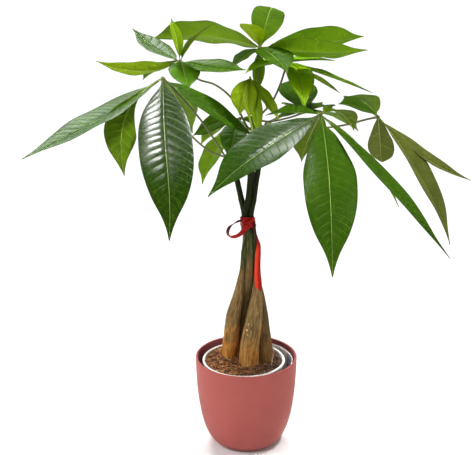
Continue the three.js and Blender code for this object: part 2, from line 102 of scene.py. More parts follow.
def path_length(dense):
    return float(np.linalg.norm(np.diff(dense, axis=0), axis=1).sum())


def unit(vectors):
    return vectors / np.linalg.norm(vectors, axis=-1, keepdims=True)


def along(pairs, place):
    """A value read from a short list of [place, value] pairs, straight between them."""
    return np.interp(place, [a for a, _ in pairs], [b for _, b in pairs])


def rounded(pairs, place):
    """As along, but smooth through the pairs."""
    x = np.array([a for a, _ in pairs], float)
    y = np.array([b for _, b in pairs], float)
    slope = np.gradient(y, x)
    slope[1:-1] = np.where(np.diff(y)[:-1] * np.diff(y)[1:] <= 0, 0, slope[1:-1])
    i = np.clip(np.searchsorted(x, place, side="right") - 1, 0, len(x) - 2)
    h = x[i + 1] - x[i]
    t = np.clip((place - x[i]) / h, 0, 1)
    rise = (2 * t**3 - 3 * t**2 + 1) * y[i] + (3 * t**2 - 2 * t**3) * y[i + 1]
    return rise + h * ((t**3 - 2 * t**2 + t) * slope[i] + (t**3 - t**2) * slope[i + 1])


def carried_frame(tangents):
    """Two directions square to a path, carried along it without twist."""
    side = np.array([1.0, 0.0, 0.0])
    sides = []
    for tangent in tangents:
        side = unit(side - tangent * side.dot(tangent))
        sides.append(side)
    sides = np.array(sides)
    return sides, np.cross(tangents, sides)


# Meshes

class Builder:
    """Collects the shells of one mesh, with a material and two measures for every point."""

    def __init__(self):
        self.points, self.faces, self.slots, self.first, self.second = [], [], [], [], []
        self.count = 0

    def add(self, points, faces, slot=0, first=None, second=(0.0, 0.0, 0.0)):
        points = np.asarray(points, float).reshape(-1, 3)
        self.points.append(points)
        self.faces.extend([tuple(int(k) + self.count for k in face) for face in faces])
        slots = [slot] * len(faces) if isinstance(slot, int) else list(slot)
        self.slots.extend(slots)
        self.first.append(points if first is None else np.asarray(first, float).reshape(-1, 3))
        self.second.append(np.broadcast_to(np.asarray(second, float), points.shape))
        self.count += len(points)

    def make(self, name, materials):
        mesh = bpy.data.meshes.new(name)
        points = np.concatenate(self.points) * MM
        mesh.from_pydata(points.tolist(), [], self.faces)
        for key, rows in (("first", self.first), ("second", self.second)):
            layer = mesh.attributes.new(key, "FLOAT_VECTOR", "POINT")
            layer.data.foreach_set("vector", np.concatenate(rows).astype(np.float32).ravel())
        for material in materials:
            mesh.materials.append(material)
        mesh.polygons.foreach_set("material_index", self.slots)
        mesh.shade_smooth()
        mesh.update()
        piece = bpy.data.objects.new(name, mesh)
        bpy.context.collection.objects.link(piece)
        return piece


def ring_faces(rings, count, closed=True, flip=False):
    """Quads between rings of points, each ring closed or open."""
    faces = []
    for ring in range(rings - 1):
        for k in range(count if closed else count - 1):
            a = ring * count + k
            b = ring * count + (k + 1) % count
            quad = (a, b, b + count, a + count)
            faces.append(quad[::-1] if flip else quad)
    return faces


def capped_faces(rings, count, flip=False):
    """The faces of a closed solid whose points are one end, the rings, and the other end."""
    last = 1 + rings * count
    base = last - count
    near, far = [], []
    for k in range(count):
        a, b = (k + 1) % count, k
        if flip:
            a, b = b, a
        near.append((0, 1 + a, 1 + b))
        far.append((last, base + b, base + a))
    between = [tuple(k + 1 for k in face) for face in ring_faces(rings, count, flip=flip)]
    return near + between + far


def sheet_faces(rows, columns, flip=False):
    """The faces of a thin closed sheet: its one side, its other side and the rim between them."""
    count = rows * columns
    one = ring_faces(rows, columns, closed=False, flip=flip)
    other = ring_faces(rows, columns, closed=False, flip=not flip)
    other = [tuple(k + count for k in face) for face in other]
    border = list(range(columns)) + [columns * r + columns - 1 for r in range(1, rows)]
    border += [count - 1 - k for k in range(1, columns)] + [columns * r for r in range(rows - 2, 0, -1)]
    rim = []
    for a, b in zip(border, border[1:] + border[:1]):
        rim.append((a, b, b + count, a + count) if flip else (b, a, a + count, b + count))
    return one, other, rim


def circle(centre, radius, sides):
    """Places spread evenly on a circle."""
    turns = [2 * math.pi * k / sides for k in range(sides)]
    return [(centre[0] + radius * math.cos(turn), centre[1] + radius * math.sin(turn)) for turn in turns]


def add_tube(builder, places, tangents, radii, sides, slot=0, first=None, second=(0.0, 0.0, 0.0)):
    """A tube along a path, closed at both ends. Its radii are one for each ring or for each point."""
    side, across = carried_frame(tangents)
    turn = np.linspace(0, 2 * math.pi, sides, endpoint=False)
    radii = np.broadcast_to(np.asarray(radii, float).reshape(len(places), -1), (len(places), sides))
    ring = side[:, None] * np.cos(turn)[None, :, None] + across[:, None] * np.sin(turn)[None, :, None]
    last = (len(places) - 1) * sides
    ends = [tuple(range(sides))[::-1], tuple(range(last, last + sides))]
    faces = ring_faces(len(places), sides) + ends
    builder.add(places[:, None] + ring * radii[..., None], faces, slot, first, second)


BALL_SIDES = 14
BALL_ROWS = 8


def add_ball(builder, centre, radii, slot, axis=UP, second=(0.0, 0.0, 0.0)):
    """A closed ball or egg. Its last radius lies along axis."""
    z = unit(np.asarray(axis, float))
    x = unit(np.cross(z, [0.3, 0.9, 0.1]))
    y = np.cross(z, x)
    points = [centre - z * radii[2]]
    for row in range(1, BALL_ROWS):
        lift = -math.cos(math.pi * row / BALL_ROWS)
        wide = math.sin(math.pi * row / BALL_ROWS)
        for k in range(BALL_SIDES):
            turn = 2 * math.pi * k / BALL_SIDES
            flat = x * radii[0] * math.cos(turn) + y * radii[1] * math.sin(turn)
            points.append(centre + flat * wide + z * radii[2] * lift)
    points.append(centre + z * radii[2])
    builder.add(points, capped_faces(BALL_ROWS - 1, BALL_SIDES), slot, second=second)


def add_lathe(builder, profile, sides, centre=(0.0, 0.0)):
    """A turned solid. The profile runs from the axis at the bottom, out and up, back to the axis."""
    points = [(*centre, profile[0][1])]
    for radius, height in profile[1:-1]:
        points += [(x, y, height) for x, y in circle(centre, radius, sides)]
    points.append((*centre, profile[-1][1]))
    builder.add(points, capped_faces(len(profile) - 2, sides))


def arch(middle, half, base, rise, turns_deg):
    """Profile points over the top of a wall, from its outside to its inside."""
    swings = [math.radians(turn) for turn in turns_deg]
    return [(middle + half * math.cos(swing), base + rise * math.sin(swing)) for swing in swings]


def hand_in(piece, slot, *nodes):
    """Rides the piece on the plant's one body, in place of the solids that it stands for."""
    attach(piece, "root")
    if nodes:
        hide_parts(*nodes)
    return piece


# Materials

def rgb(code):
    """A colour written as on a paint card, turned into the linear values that light needs."""
    parts = [int(code[k:k + 2], 16) / 255 for k in (0, 2, 4)]
    return tuple(p / 12.92 if p <= 0.04045 else ((p + 0.055) / 1.055) ** 2.4 for p in parts)


class Paint:
    """A material's nodes, with one short call for each kind."""

    def __init__(self, name):
        self.material = bpy.data.materials.new(name)
        self.material.use_nodes = True
        self.tree = self.material.node_tree
        self.tree.nodes.clear()
        self.out = self.tree.nodes.new("ShaderNodeOutputMaterial")
        self.shader = self.tree.nodes.new("ShaderNodeBsdfPrincipled")
        self.show(self.shader.outputs[0])

    def show(self, surface):
        self.surface = surface
        self.link(surface, self.out.inputs["Surface"])

    def link(self, source, target):
        self.tree.links.new(source, target)

    def put(self, target, value):
        """Gives a socket another socket's output, a colour, written as a code or as values, or a number."""
        if isinstance(value, str):
            value = rgb(value)
        if isinstance(value, bpy.types.NodeSocket):
            self.link(value, target)
        elif isinstance(value, tuple) and target.type == "RGBA":
            target.default_value = (*value, 1)
        else:
            target.default_value = value

    def set(self, **values):
        for key, value in values.items():
            self.put(self.shader.inputs[key.replace("_", " ")], value)

    def node(self, kind, settings=None, **inputs):
        node = self.tree.nodes.new(kind)
        for key, value in (settings or {}).items():
            setattr(node, key, value)
        for key, value in inputs.items():
            self.put(node.inputs[key.replace("_", " ")], value)
        return node

    def measure(self, name):
        return self.node("ShaderNodeAttribute", {"attribute_name": name}).outputs["Vector"]

    def tint(self, name):
        return self.node("ShaderNodeAttribute", {"attribute_name": name}).outputs["Color"]

    def split(self, vector):
        return self.node("ShaderNodeSeparateXYZ", None, Vector=vector).outputs

    def place(self):
        return self.node("ShaderNodeTexCoord").outputs["Object"]

    def sized(self, vector, scale):
        node = self.node("ShaderNodeVectorMath", {"operation": "MULTIPLY"})
        self.put(node.inputs[0], vector)
        node.inputs[1].default_value = scale
        return node.outputs[0]

    def math(self, operation, a, b=0.0, clamp=False):
        node = self.node("ShaderNodeMath", {"operation": operation, "use_clamp": clamp})
        self.put(node.inputs[0], a)
        self.put(node.inputs[1], b)
        return node.outputs[0]

    def times(self, a, b):
        return self.math("MULTIPLY", a, b)

    def plus(self, a, b):
        return self.math("ADD", a, b)

    def minus(self, a, b):
        return self.math("SUBTRACT", a, b)

    def noise(self, vector, scale, detail, rough=0.55, distortion=0.0):
        node = self.node("ShaderNodeTexNoise", None, Vector=vector, Scale=scale, Detail=detail,
                         Roughness=rough, Distortion=distortion)
        return node.outputs["Fac"]

    def cells(self, vector, scale):
        node = self.node("ShaderNodeTexVoronoi", None, Vector=vector, Scale=scale)
        node.feature = "DISTANCE_TO_EDGE"
        return node.outputs["Distance"]

    def band(self, value, low, high, start=0.0, end=1.0):
        node = self.node("ShaderNodeMapRange", {"interpolation_type": "SMOOTHSTEP"})
        for key, number in (("From Min", low), ("From Max", high), ("To Min", start), ("To Max", end)):
            node.inputs[key].default_value = number
        self.put(node.inputs["Value"], value)
        return node.outputs["Result"]

    def mix(self, share, a, b):
        node = self.node("ShaderNodeMix", {"data_type": "RGBA"})
        self.put(node.inputs["Factor"], share)
        self.put(node.inputs[6], a)
        self.put(node.inputs[7], b)
        return node.outputs[2]

    def ramp(self, value, stops):
        node = self.node("ShaderNodeValToRGB")
        self.put(node.inputs["Fac"], value)
        spots = node.color_ramp.elements
        while len(spots) < len(stops):
            spots.new(0.5)
        for spot, (place, colour) in zip(spots, stops):
            spot.position = place
            spot.color = (*rgb(colour), 1)
        return node.outputs["Color"]

    def bump(self, height, distance, strength, under=None):
        node = self.node("ShaderNodeBump", None, Strength=strength, Distance=distance, Height=height)
        if under is not None:
            self.put(node.inputs["Normal"], under)
        return node.outputs["Normal"]

    def matt(self, share, rough, level):
        """Mixes in a matt copy of the shader: all of it where the share is 1."""
        copy = self.node("ShaderNodeBsdfPrincipled", None, Roughness=rough, Specular_IOR_Level=level)
        for key in ("Base Color", "Normal"):
            self.link(self.shader.inputs[key].links[0].from_socket, copy.inputs[key])
        self.blend(share, copy.outputs[0])

    def let_light_through(self, colour, share):
        """Mixes in light that comes through a thin blade from its other side."""
        glow = self.node("ShaderNodeBsdfTranslucent", None, Color=colour)
        self.blend(share, glow.outputs[0])

    def blend(self, share, other):
        both = self.node("ShaderNodeMixShader")
        self.put(both.inputs[0], share)
        self.link(self.surface, both.inputs[1])
        self.link(other, both.inputs[2])
        self.show(both.outputs[0])


def cover_paint():
    p = Paint("cover_pot")
    at = p.place()
    cloud = p.noise(at, 22, 3)
    speck = p.noise(at, 1400, 2, 0.7)
    x, y, z = p.split(at)
    radius = p.math("SQRT", p.plus(p.times(x, x), p.times(y, y)))
    inside = p.times(p.band(radius, 0.0668, 0.0676, 1, 0), p.band(z, 0.085, 0.09))
    ground = p.mix(cloud, "a0524b", "ab5a54")
    # The inside wall below the lip is painted darker, 844a4c: painted shade in the pot's hollow.
    ground = p.mix(inside, ground, "844a4c")
    colour = p.mix(p.band(speck, 0.6, 0.75, 0, 0.22), ground, "8a3f3a")
    rough = p.band(p.noise(at, 300, 3), 0.2, 0.8, 0.42, 0.56)
    fine = p.bump(p.noise(at, 900, 3, 0.6), 0.0002, 0.35)
    p.set(Base_Color=colour, Roughness=rough, Normal=p.bump(p.noise(at, 60, 2), 0.0006, 0.25, fine))
    p.set(Specular_IOR_Level=0.08)
    return p.material


def nursery_paint():
    p = Paint("nursery_pot")
    at = p.place()
    dust = p.band(p.noise(at, 120, 5), 0.5, 0.75, 0, 0.35)
    colour = p.mix(dust, "f1efec", "d9cfc2")
    p.set(Base_Color=colour, Roughness=p.band(p.noise(at, 200, 2), 0.2, 0.8, 0.32, 0.5))
    p.set(Normal=p.bump(p.noise(at, 800, 2), 0.0001, 0.3))
    return p.material


def tag_paint():
    p = Paint("tag")
    first = p.measure("first")
    _, y, z = p.split(first)
    panel = p.times(p.band(z, 120, 120.8, 1, 0), p.band(y, 24, 27, 1, 0))
    mottled = p.band(p.noise(first, 0.3, 4, 0.7), 0.42, 0.58)
    print_colour = p.mix(mottled, "5c6a66", "d2cbd8")
    colour = p.mix(panel, "f3ece8", print_colour)
    p.set(Base_Color=colour, Roughness=p.band(mottled, 0.2, 0.8, 0.28, 0.42))
    p.set(Normal=p.bump(p.noise(p.place(), 500, 2), 0.0001, 0.2))
    return p.material


def soil_paint():
    p = Paint("soil")
    at = p.place()
    grain = p.noise(at, 260, 6, 0.65)
    dark = p.ramp(grain, [(0.3, "180e08"), (0.5, "332010"), (0.68, "5e3a1e"), (0.85, "8a5a30")])
    side = p.band(p.split(at)[0], -0.045, 0.03, 0.5, 0)
    colour = p.mix(side, dark, "8f5a2c")
    p.set(Base_Color=colour, Roughness=p.band(grain, 0.2, 0.8, 0.85, 1.0))
    p.set(Normal=p.bump(grain, 0.0015, 0.9))
    return p.material


def litter_paint():
    p = Paint("litter")
    colour = p.tint("second")
    at = p.place()
    grain = p.noise(at, 700, 4, 0.6)
    shaded = p.mix(p.band(grain, 0.35, 0.7, 0.55, 0), colour, "20140c")
    p.set(Base_Color=shaded, Roughness=p.band(grain, 0.2, 0.8, 0.7, 0.95))
    p.set(Normal=p.bump(grain, 0.0004, 0.7))
    return p.material


def bark_paint():
    """Woody and fibrous low down, green above. The measures are the place on the trunk and its tints."""
    p = Paint("bark")
    spot = p.measure("first")
    height = p.split(spot)[2]
    age, warmth, green_from = p.split(p.measure("second"))
    streak = p.noise(p.sized(spot, (0.55, 0.55, 0.045)), 1, 6, 0.62, 0.4)
    patch = p.noise(p.sized(spot, (0.09, 0.09, 0.045)), 1, 2, 0.5)
    flake = p.noise(p.sized(spot, (0.3, 0.3, 0.16)), 1, 5, 0.7)
    fibre = p.noise(p.sized(spot, (1.5, 1.5, 0.07)), 1, 3, 0.6)
    woody = p.ramp(streak, [(0.28, "3c2a17"), (0.44, "755c36"), (0.58, "97794c"), (0.76, "baa06a")])
    woody = p.mix(p.band(age, 0, 1, 0, 0.7), woody, "3f2f1c")
    orange = p.ramp(streak, [(0.3, "9c5c24"), (0.5, "ea9e48"), (0.7, "fac878")])
    low = p.plus(height, p.band(patch, 0.3, 0.7, -15, 15))
    foot = p.times(p.band(low, 132, 176, 1, 0), warmth)
    colour = p.mix(foot, woody, orange)
    moss = p.times(p.band(flake, 0.5, 0.7), 0.3)
    colour = p.mix(moss, colour, "5f6434")
    colour = p.mix(p.band(fibre, 0.42, 0.3, 0, 0.6), colour, "2e2213")
    green = p.ramp(streak, [(0.3, "12170a"), (0.46, "333a19"), (0.58, "686338"), (0.72, "aca070")])
    high = p.minus(p.plus(height, p.band(streak, 0.3, 0.7, -9, 9)), green_from)
    ring = p.times(p.band(height, 243, 247), p.band(height, 249, 254, 1, 0))
    colour = p.mix(p.band(high, 238, 262), colour, green)
    colour = p.mix(p.times(ring, 0.4), colour, "8a5f2c")
    colour = p.mix(p.band(height, 286, 330, 0, 0.9), colour, "121c04")
    fresh = p.mix(patch, "3f5a16", "5c7824")
    colour = p.mix(p.band(high, 380, 440, 0, 0.8), colour, fresh)
    p.set(Base_Color=colour, Roughness=p.band(streak, 0.3, 0.7, 0.62, 0.88))
    fine = p.noise(p.sized(spot, (1.6, 1.6, 0.12)), 1, 4, 0.7)
    p.set(Normal=p.bump(fine, 0.0012, 0.8, p.bump(flake, 0.002, 0.6)))
    p.set(Specular_IOR_Level=0.12)
    return p.material


def scar_paint():
    p = Paint("scar")
    at = p.place()
    grain = p.noise(at, 900, 4, 0.6)
    p.set(Base_Color=p.mix(grain, "b9a67c", "f0e6cc"), Roughness=p.band(grain, 0.2, 0.8, 0.7, 0.9))
    p.set(Normal=p.bump(grain, 0.0004, 0.7))
    return p.material


def ribbon_paint():
    p = Paint("ribbon")
    way, across, light = p.split(p.measure("first"))
    weave = p.math("SINE", p.times(way, 14.0))
    cloud = p.noise(p.place(), 160, 3)
    red = p.mix(cloud, "7e0604", "ab130d")
    # The third measure is a painted light level. Below 0 the red is painted darker: painted shade on the
    # ribbon's inner side.
    red = p.mix(p.band(light, -1, 0, 0.9, 0), red, "2c0203")
    # Above 0 the strip's left half is painted pale red: a painted highlight.
    painted_highlight = p.times(p.band(light, 0, 1), p.band(across, -0.5, 0.55, 0.85, 0))
    p.set(Base_Color=p.mix(painted_highlight, red, "f04426"), Roughness=p.band(cloud, 0.2, 0.8, 0.34, 0.44))
    p.set(Normal=p.bump(weave, 0.00006, 0.35))
    p.set(Specular_IOR_Level=0.12, Anisotropic=0.3)
    p.let_light_through("c81808", 0.02)
    return p.material


VEIN_LEAN = 0.07
VEIN_HOOK = 0.02
VEIN_STRAY, STRAY_TURNS, STRAY_SIDE = 0.4, 12, 1.7


def blade_veins(p):
    """The midrib, the side veins, how far off a vein lies, the way along the blade, and its edge."""
    lateral, way, cross = p.split(p.measure("first"))
    veins = p.split(p.measure("second"))[0]
    wide = p.math("ABSOLUTE", cross)
    lean = p.times(wide, VEIN_LEAN)
    hook = p.times(p.math("POWER", wide, 4.0), VEIN_HOOK)
    phase = p.times(p.minus(p.minus(way, lean), hook), veins)
    turn = p.plus(p.times(way, STRAY_TURNS), p.times(p.math("SIGN", cross), STRAY_SIDE))
    phase = p.plus(phase, p.times(p.math("SINE", turn), VEIN_STRAY))
    off = p.math("ABSOLUTE", p.minus(p.math("FRACT", p.plus(phase, 0.5)), 0.5))
    side_vein = p.times(p.band(off, 0.02, 0.09, 1, 0), p.band(wide, 0.55, 0.97, 1, 0.25))
    rib_width = p.minus(1.15, p.times(way, 0.95))
    rib = p.math("DIVIDE", p.math("ABSOLUTE", lateral), rib_width)
    edge = p.band(wide, 0.9, 1.0, 0, 0.5)
    return p.band(rib, 0.35, 0.8, 1, 0), side_vein, off, way, edge


def blade_top_paint():
    p = Paint("leaf_top")
    rib, side_vein, off, way, edge = blade_veins(p)
    _, near, far = p.split(p.measure("second"))
    shine = p.math("ADD", p.times(p.band(way, 0.25, 0.75, 1, 0), near), far, clamp=True)
    at = p.place()
    tint = p.tint("tint")
    cloud = p.noise(at, 26, 3)
    mottle = p.noise(at, 240, 4, 0.6)
    colour = p.mix(p.band(cloud, 0.3, 0.7, 0.3, 0), tint, "122a04")
    colour = p.mix(p.band(mottle, 0.45, 0.75, 0, 0.12), colour, "7fa62a")
    colour = p.mix(p.times(side_vein, 0.07), colour, "8fb24a")
    colour = p.mix(edge, colour, "1c2a08")
    colour = p.mix(p.times(rib, p.band(way, 0.1, 0.5, 0.3, 0.7)), colour, "a8bf60")
    rough = p.plus(p.band(mottle, 0.25, 0.75, 0.25, 0.31), p.times(side_vein, 0.25))
    rough = p.plus(rough, p.times(far, 0.2))
    p.set(Base_Color=colour, Roughness=rough, Normal=p.bump(p.band(off, 0, 0.12), 0.0004, 0.45))
    p.matt(p.minus(1.0, shine), 0.7, 0.03)
    p.let_light_through(p.mix(0.4, tint, "8fc000"), 0.2)
    return p.material


def blade_under_paint():
    p = Paint("leaf_under")
    rib, side_vein, off, way, edge = blade_veins(p)
    at = p.place()
    tint = p.tint("under")
    cloud = p.noise(at, 30, 3)
    mottle = p.noise(at, 260, 4, 0.6)
    net = p.cells(at, 420)
    colour = p.mix(p.band(cloud, 0.3, 0.7, 0.25, 0), tint, "33500c")
    colour = p.mix(p.band(net, 0, 0.2, 0.12, 0), colour, "a5c04c")
    colour = p.mix(p.band(way, 0.02, 0.26, 0.55, 0), colour, "3c4216")
    colour = p.mix(p.times(side_vein, 0.25), colour, "a0bc50")
    colour = p.mix(edge, colour, "262e0c")
    colour = p.mix(p.times(rib, 0.8), colour, "b4c870")
    p.set(Base_Color=colour, Roughness=p.band(mottle, 0.25, 0.75, 0.5, 0.66))
    raised = p.bump(p.band(off, 0, 0.1, 1, 0), 0.0005, 0.6)
    p.set(Normal=p.bump(p.band(net, 0, 0.25, 1, 0), 0.0002, 0.5, raised))
    p.set(Specular_IOR_Level=0.07)
    p.let_light_through(p.mix(0.4, tint, "8fc000"), 0.25)
    return p.material


def petiole_paint():
    p = Paint("petiole")
    at = p.place()
    cloud = p.noise(at, 60, 4)
    flecks = p.noise(at, 900, 2)
    colour = p.mix(cloud, "3d3c16", "646c28")
    colour = p.mix(p.band(flecks, 0.6, 0.72, 0, 0.5), colour, "6b5a30")
    colour = p.mix(p.split(p.measure("second"))[0], colour, "93b012")
    p.set(Base_Color=colour, Roughness=p.band(cloud, 0.2, 0.8, 0.4, 0.55))
    p.set(Normal=p.bump(flecks, 0.0002, 0.4))
    return p.material


# Cover pot

COVER_RADIUS = 70
COVER_HEIGHT = 128
COVER_FOOT_RADIUS = 36
COVER_WALL = 3.2
COVER_FLOOR = 4
COVER_HOLLOW = 0.8
COVER_CORNER = 5
COVER_STEPS = 56
COVER_SIDES = 128
LIP_TURNS_DEG = range(15, 180, 15)


def cover_curve(t):
    """A place on the outer wall, from the foot at 0 to the lip at 1, and the way that it runs."""
    knots = np.array([
        (COVER_FOOT_RADIUS, 0),
        (COVER_RADIUS - 12, 2),
        (COVER_RADIUS - 1, 50),
        (COVER_RADIUS, COVER_HEIGHT - COVER_WALL / 2),
    ], float)
    shares = np.array([(1 - t)**3, 3 * t * (1 - t)**2, 3 * t**2 * (1 - t), t**3])
    rates = np.array([-(1 - t)**2, (1 - t)**2 - 2 * t * (1 - t), 2 * t * (1 - t) - t**2, t**2])
    return shares @ knots, unit(rates @ knots)


def make_cover_pot():
    """The outer pot: a hollow under its foot, its outside, a round lip, its inside and its floor."""
    wall = [cover_curve(k / COVER_STEPS) for k in range(COVER_STEPS + 1)]
    outside = [tuple(place) for place, _ in wall]
    half = COVER_WALL / 2
    lip = arch(COVER_RADIUS - half, half, COVER_HEIGHT - half, half, LIP_TURNS_DEG)
    inside = []
    for place, way in reversed(wall):
        inset = (place[0] - way[1] * COVER_WALL, place[1] + way[0] * COVER_WALL)
        if inset[1] > COVER_FLOOR + 1:
            inside.append(inset)
    profile = [
        (0, COVER_HOLLOW), (COVER_FOOT_RADIUS - 6, COVER_HOLLOW), (COVER_FOOT_RADIUS - 4.5, 0),
        *outside, *lip, *inside, (inside[-1][0] - COVER_CORNER, COVER_FLOOR), (0, COVER_FLOOR),
    ]
    builder = Builder()
    add_lathe(builder, profile, COVER_SIDES)
    return hand_in(builder.make("cover_pot", [cover_paint()]), "cover_pot", "cachepot")


# Nursery pot and soil

NURSERY_AT = (-3.5, -3)
NURSERY_RADIUS = 57
NURSERY_TOP = 124
NURSERY_BOTTOM_RADIUS = 36
NURSERY_WALL = 1.4
NURSERY_RIM = 3.4
NURSERY_BASE_Z = 4.3
NURSERY_HOLLOW = 1.2
NURSERY_SIDES = 112
NURSERY_NECK = NURSERY_RADIUS - 1.8
NURSERY_RIM_FOOT = NURSERY_TOP - NURSERY_RIM
RIM_ROUND = 1.1
RIM_TURNS_DEG = range(0, 181, 20)
DRAIN_HOLES = 5
DRAIN_HOLE_RADIUS = 4
DRAIN_HOLE_SIDES = 20
DRAIN_HOLE_HEIGHT = 12
DRAIN_RING = 0.6
FLAT_ENOUGH = 0.98


def make_nursery_pot():
    """The pot, whose floor lies above its foot ring, with drain holes cut through the floor."""
    neck, top = NURSERY_NECK, NURSERY_RIM_FOOT
    inside = neck - NURSERY_WALL
    foot, bottom = NURSERY_BOTTOM_RADIUS, NURSERY_BASE_Z
    hollow = bottom + NURSERY_HOLLOW
    floor = hollow + NURSERY_WALL
    middle, half = (NURSERY_RADIUS + inside) / 2, (NURSERY_RADIUS - inside) / 2
    profile = [
        (0, hollow), (foot - 8, hollow), (foot - 6, bottom), (foot - 1, bottom), (foot, bottom + 0.8),
        (neck - 0.3, top - 0.6), (neck, top), (NURSERY_RADIUS, top),
        *arch(middle, half, NURSERY_TOP - RIM_ROUND, RIM_ROUND, RIM_TURNS_DEG),
        (inside, top), (foot - NURSERY_WALL, floor), (0, floor),
    ]
    builder = Builder()
    add_lathe(builder, profile, NURSERY_SIDES, NURSERY_AT)
    pot = builder.make("nursery_pot_fine", [nursery_paint()])
    cutter = Builder()
    hole = [(0, 0), (DRAIN_HOLE_RADIUS, 0), (DRAIN_HOLE_RADIUS, DRAIN_HOLE_HEIGHT), (0, DRAIN_HOLE_HEIGHT)]
    for centre in circle(NURSERY_AT, DRAIN_RING * NURSERY_BOTTOM_RADIUS, DRAIN_HOLES):
        add_lathe(cutter, hole, DRAIN_HOLE_SIDES, centre)
    holes = cutter.make("drain_holes", [])
    cut = pot.modifiers.new("drain", "BOOLEAN")
    cut.operation = "DIFFERENCE"
    cut.object = holes
    cut.solver = "EXACT"
    apply_modifiers(pot)
    bpy.data.objects.remove(holes)
    for polygon in pot.data.polygons:
        polygon.use_smooth = abs(polygon.normal.z) < FLAT_ENOUGH
    return hand_in(pot, "nursery_pot", "nursery_pot")


def apply_modifiers(piece):
    evaluated = piece.evaluated_get(bpy.context.evaluated_depsgraph_get())
    mesh = bpy.data.meshes.new_from_object(evaluated)
    piece.modifiers.clear()
    piece.data = mesh


TAG_FOOT_RADIUS = 59.1
TAG_TOP_RADIUS = 64.1
TAG_THICKNESS = 0.5
TAG_FROM_DEG = -28
TAG_TO_DEG = 58
TAG_BOTTOM = 46
TAG_TOP = 122
TAG_CORNER = 5
TAG_COLUMNS = 72
TAG_ROWS = 24
TAG_WAVE = 0.15


def make_plant_tag():
    """A card bent round the nursery pot, with round upper corners."""
    turns = np.radians(np.linspace(TAG_FROM_DEG, TAG_TO_DEG, TAG_COLUMNS))
    width = TAG_TOP_RADIUS * (turns[-1] - turns[0])
    x = (turns - turns[0]) * TAG_TOP_RADIUS
    edge = np.clip(TAG_CORNER - np.minimum(x, width - x), 0, TAG_CORNER)
    top = TAG_TOP - (TAG_CORNER - np.sqrt(TAG_CORNER**2 - edge**2))
    share = np.linspace(0, 1, TAG_ROWS)[:, None]
    heights = TAG_BOTTOM + share * (top[None] - TAG_BOTTOM)
    rise = (heights - TAG_BOTTOM) / (TAG_TOP - TAG_BOTTOM)
    cone = TAG_FOOT_RADIUS + (TAG_TOP_RADIUS - TAG_FOOT_RADIUS) * rise
    sheets = []
    for depth in (0, TAG_THICKNESS):
        r = cone - depth + TAG_WAVE * np.sin(heights * 0.11 + turns[None] * 9)
        sheets.append(np.stack([r * np.cos(turns), r * np.sin(turns), heights], axis=-1).reshape(-1, 3))
    one, other, rim = sheet_faces(TAG_ROWS, TAG_COLUMNS)
    builder = Builder()
    builder.add(np.concatenate(sheets), one + other + rim)
    return hand_in(builder.make("plant_tag_card", [tag_paint()]), "tag", "plant_tag")


SOIL_TOP = 117.5
SOIL_SLOPE = 0.035
SOIL_DISH = 4
SOIL_EDGE = 52.6
SOIL_LOW = 6.0
SOIL_BASE = SOIL_LOW + NURSERY_WALL + 0.3
SOIL_BASE_RADIUS = NURSERY_BOTTOM_RADIUS - NURSERY_WALL - 0.4
SOIL_BANDS = (100, 60, 20, SOIL_BASE)
SOIL_ROWS = 64
SOIL_SIDES = 180


def soil_height(x, y):
    """Height of the soil at a place measured from the nursery pot's middle."""
    bump = math.sin(x * 0.55 + 1) * math.cos(y * 0.47) + 0.6 * math.sin(y * 0.9 + x * 0.31)
    rough = noise.fractal(Vector((x, y, 3.0)) * 0.16, 0.6, 2.2, 5)
    rise = SOIL_DISH * (math.hypot(x, y) / SOIL_EDGE) ** 3
    return SOIL_TOP + rise - SOIL_SLOPE * x + 0.8 * bump + 1.3 * rough


def make_soil():
    """The uneven top of the soil, and the sides and base that fill the nursery pot."""
    points = [(*NURSERY_AT, soil_height(0, 0))]
    for row in range(1, SOIL_ROWS + 1):
        for x, y in circle((0, 0), SOIL_EDGE * row / SOIL_ROWS, SOIL_SIDES):
            points.append((NURSERY_AT[0] + x, NURSERY_AT[1] + y, soil_height(x, y)))
    for height in SOIL_BANDS:
        share = (height - SOIL_LOW) / (SOIL_TOP - SOIL_LOW)
        radius = SOIL_BASE_RADIUS + (SOIL_EDGE - SOIL_BASE_RADIUS) * share
        points += [(x, y, height) for x, y in circle(NURSERY_AT, radius, SOIL_SIDES)]
    points.append((*NURSERY_AT, SOIL_BASE))
    builder = Builder()
    builder.add(points, capped_faces(SOIL_ROWS + len(SOIL_BANDS), SOIL_SIDES, flip=True))
    return hand_in(builder.make("soil_bed", [soil_paint()]), "soil", "soil")


LITTER_CHIPS = 900
LITTER_FIBRES = 620
LITTER_SEED = 11
LITTER_TONES = ["3a2415", "5a3a20", "7a4f2a", "9a6836", "b98a52", "c9a26c", "2a1a10", "8a5a30"]
LITTER_CAST = [1.05, 0.85, 0.72]
LITTER_GLOW = np.array([0.03, 0.01, 0])
LITTER_INSET = 2.5
TRUNK_CLEAR = 13.0
CUBE = np.array([(i, j, k) for i in (-1, 1) for j in (-1, 1) for k in (-1, 1)], float)
CUBE_FACES = [(0, 1, 3, 2), (4, 6, 7, 5), (0, 4, 5, 1), (2, 3, 7, 6), (0, 2, 6, 4), (1, 5, 7, 3)]
CHIP_SIZES = [(1.2, 4.2), (0.6, 1.8), (0.3, 0.8)]
CHIP_TILT = 0.35
CHIP_UNEVEN = 0.3
CHIP_LIFT = 0.35
FIBRE_STEPS = 8
FIBRE_SIDES = 5
FIBRE_BEND = 0.09
FIBRE_LENGTH = (6, 20)
FIBRE_RISE = (0.2, 2.2)
FIBRE_LIFT = 0.3
FIBRE_RADIUS = (0.16, 0.42)
FIBRE_PALENESS = 1.35
FIBRE_INSET = 1.5
STALK_RINGS = 20
STALK_SIDES = 8
STALKS = [
    ([(34, -14, 116), (35.5, -12, 124), (37, -10, 133), (38, -8, 142)], 0.7, "d8b48e"),
    ([(20, -40, 118), (28, -38, 119), (37, -33, 118.5)], 0.45, "c8a982"),
    ([(-22, -34, 119), (-20, -33, 125), (-19, -30, 129)], 0.45, "6b5a4c"),
]


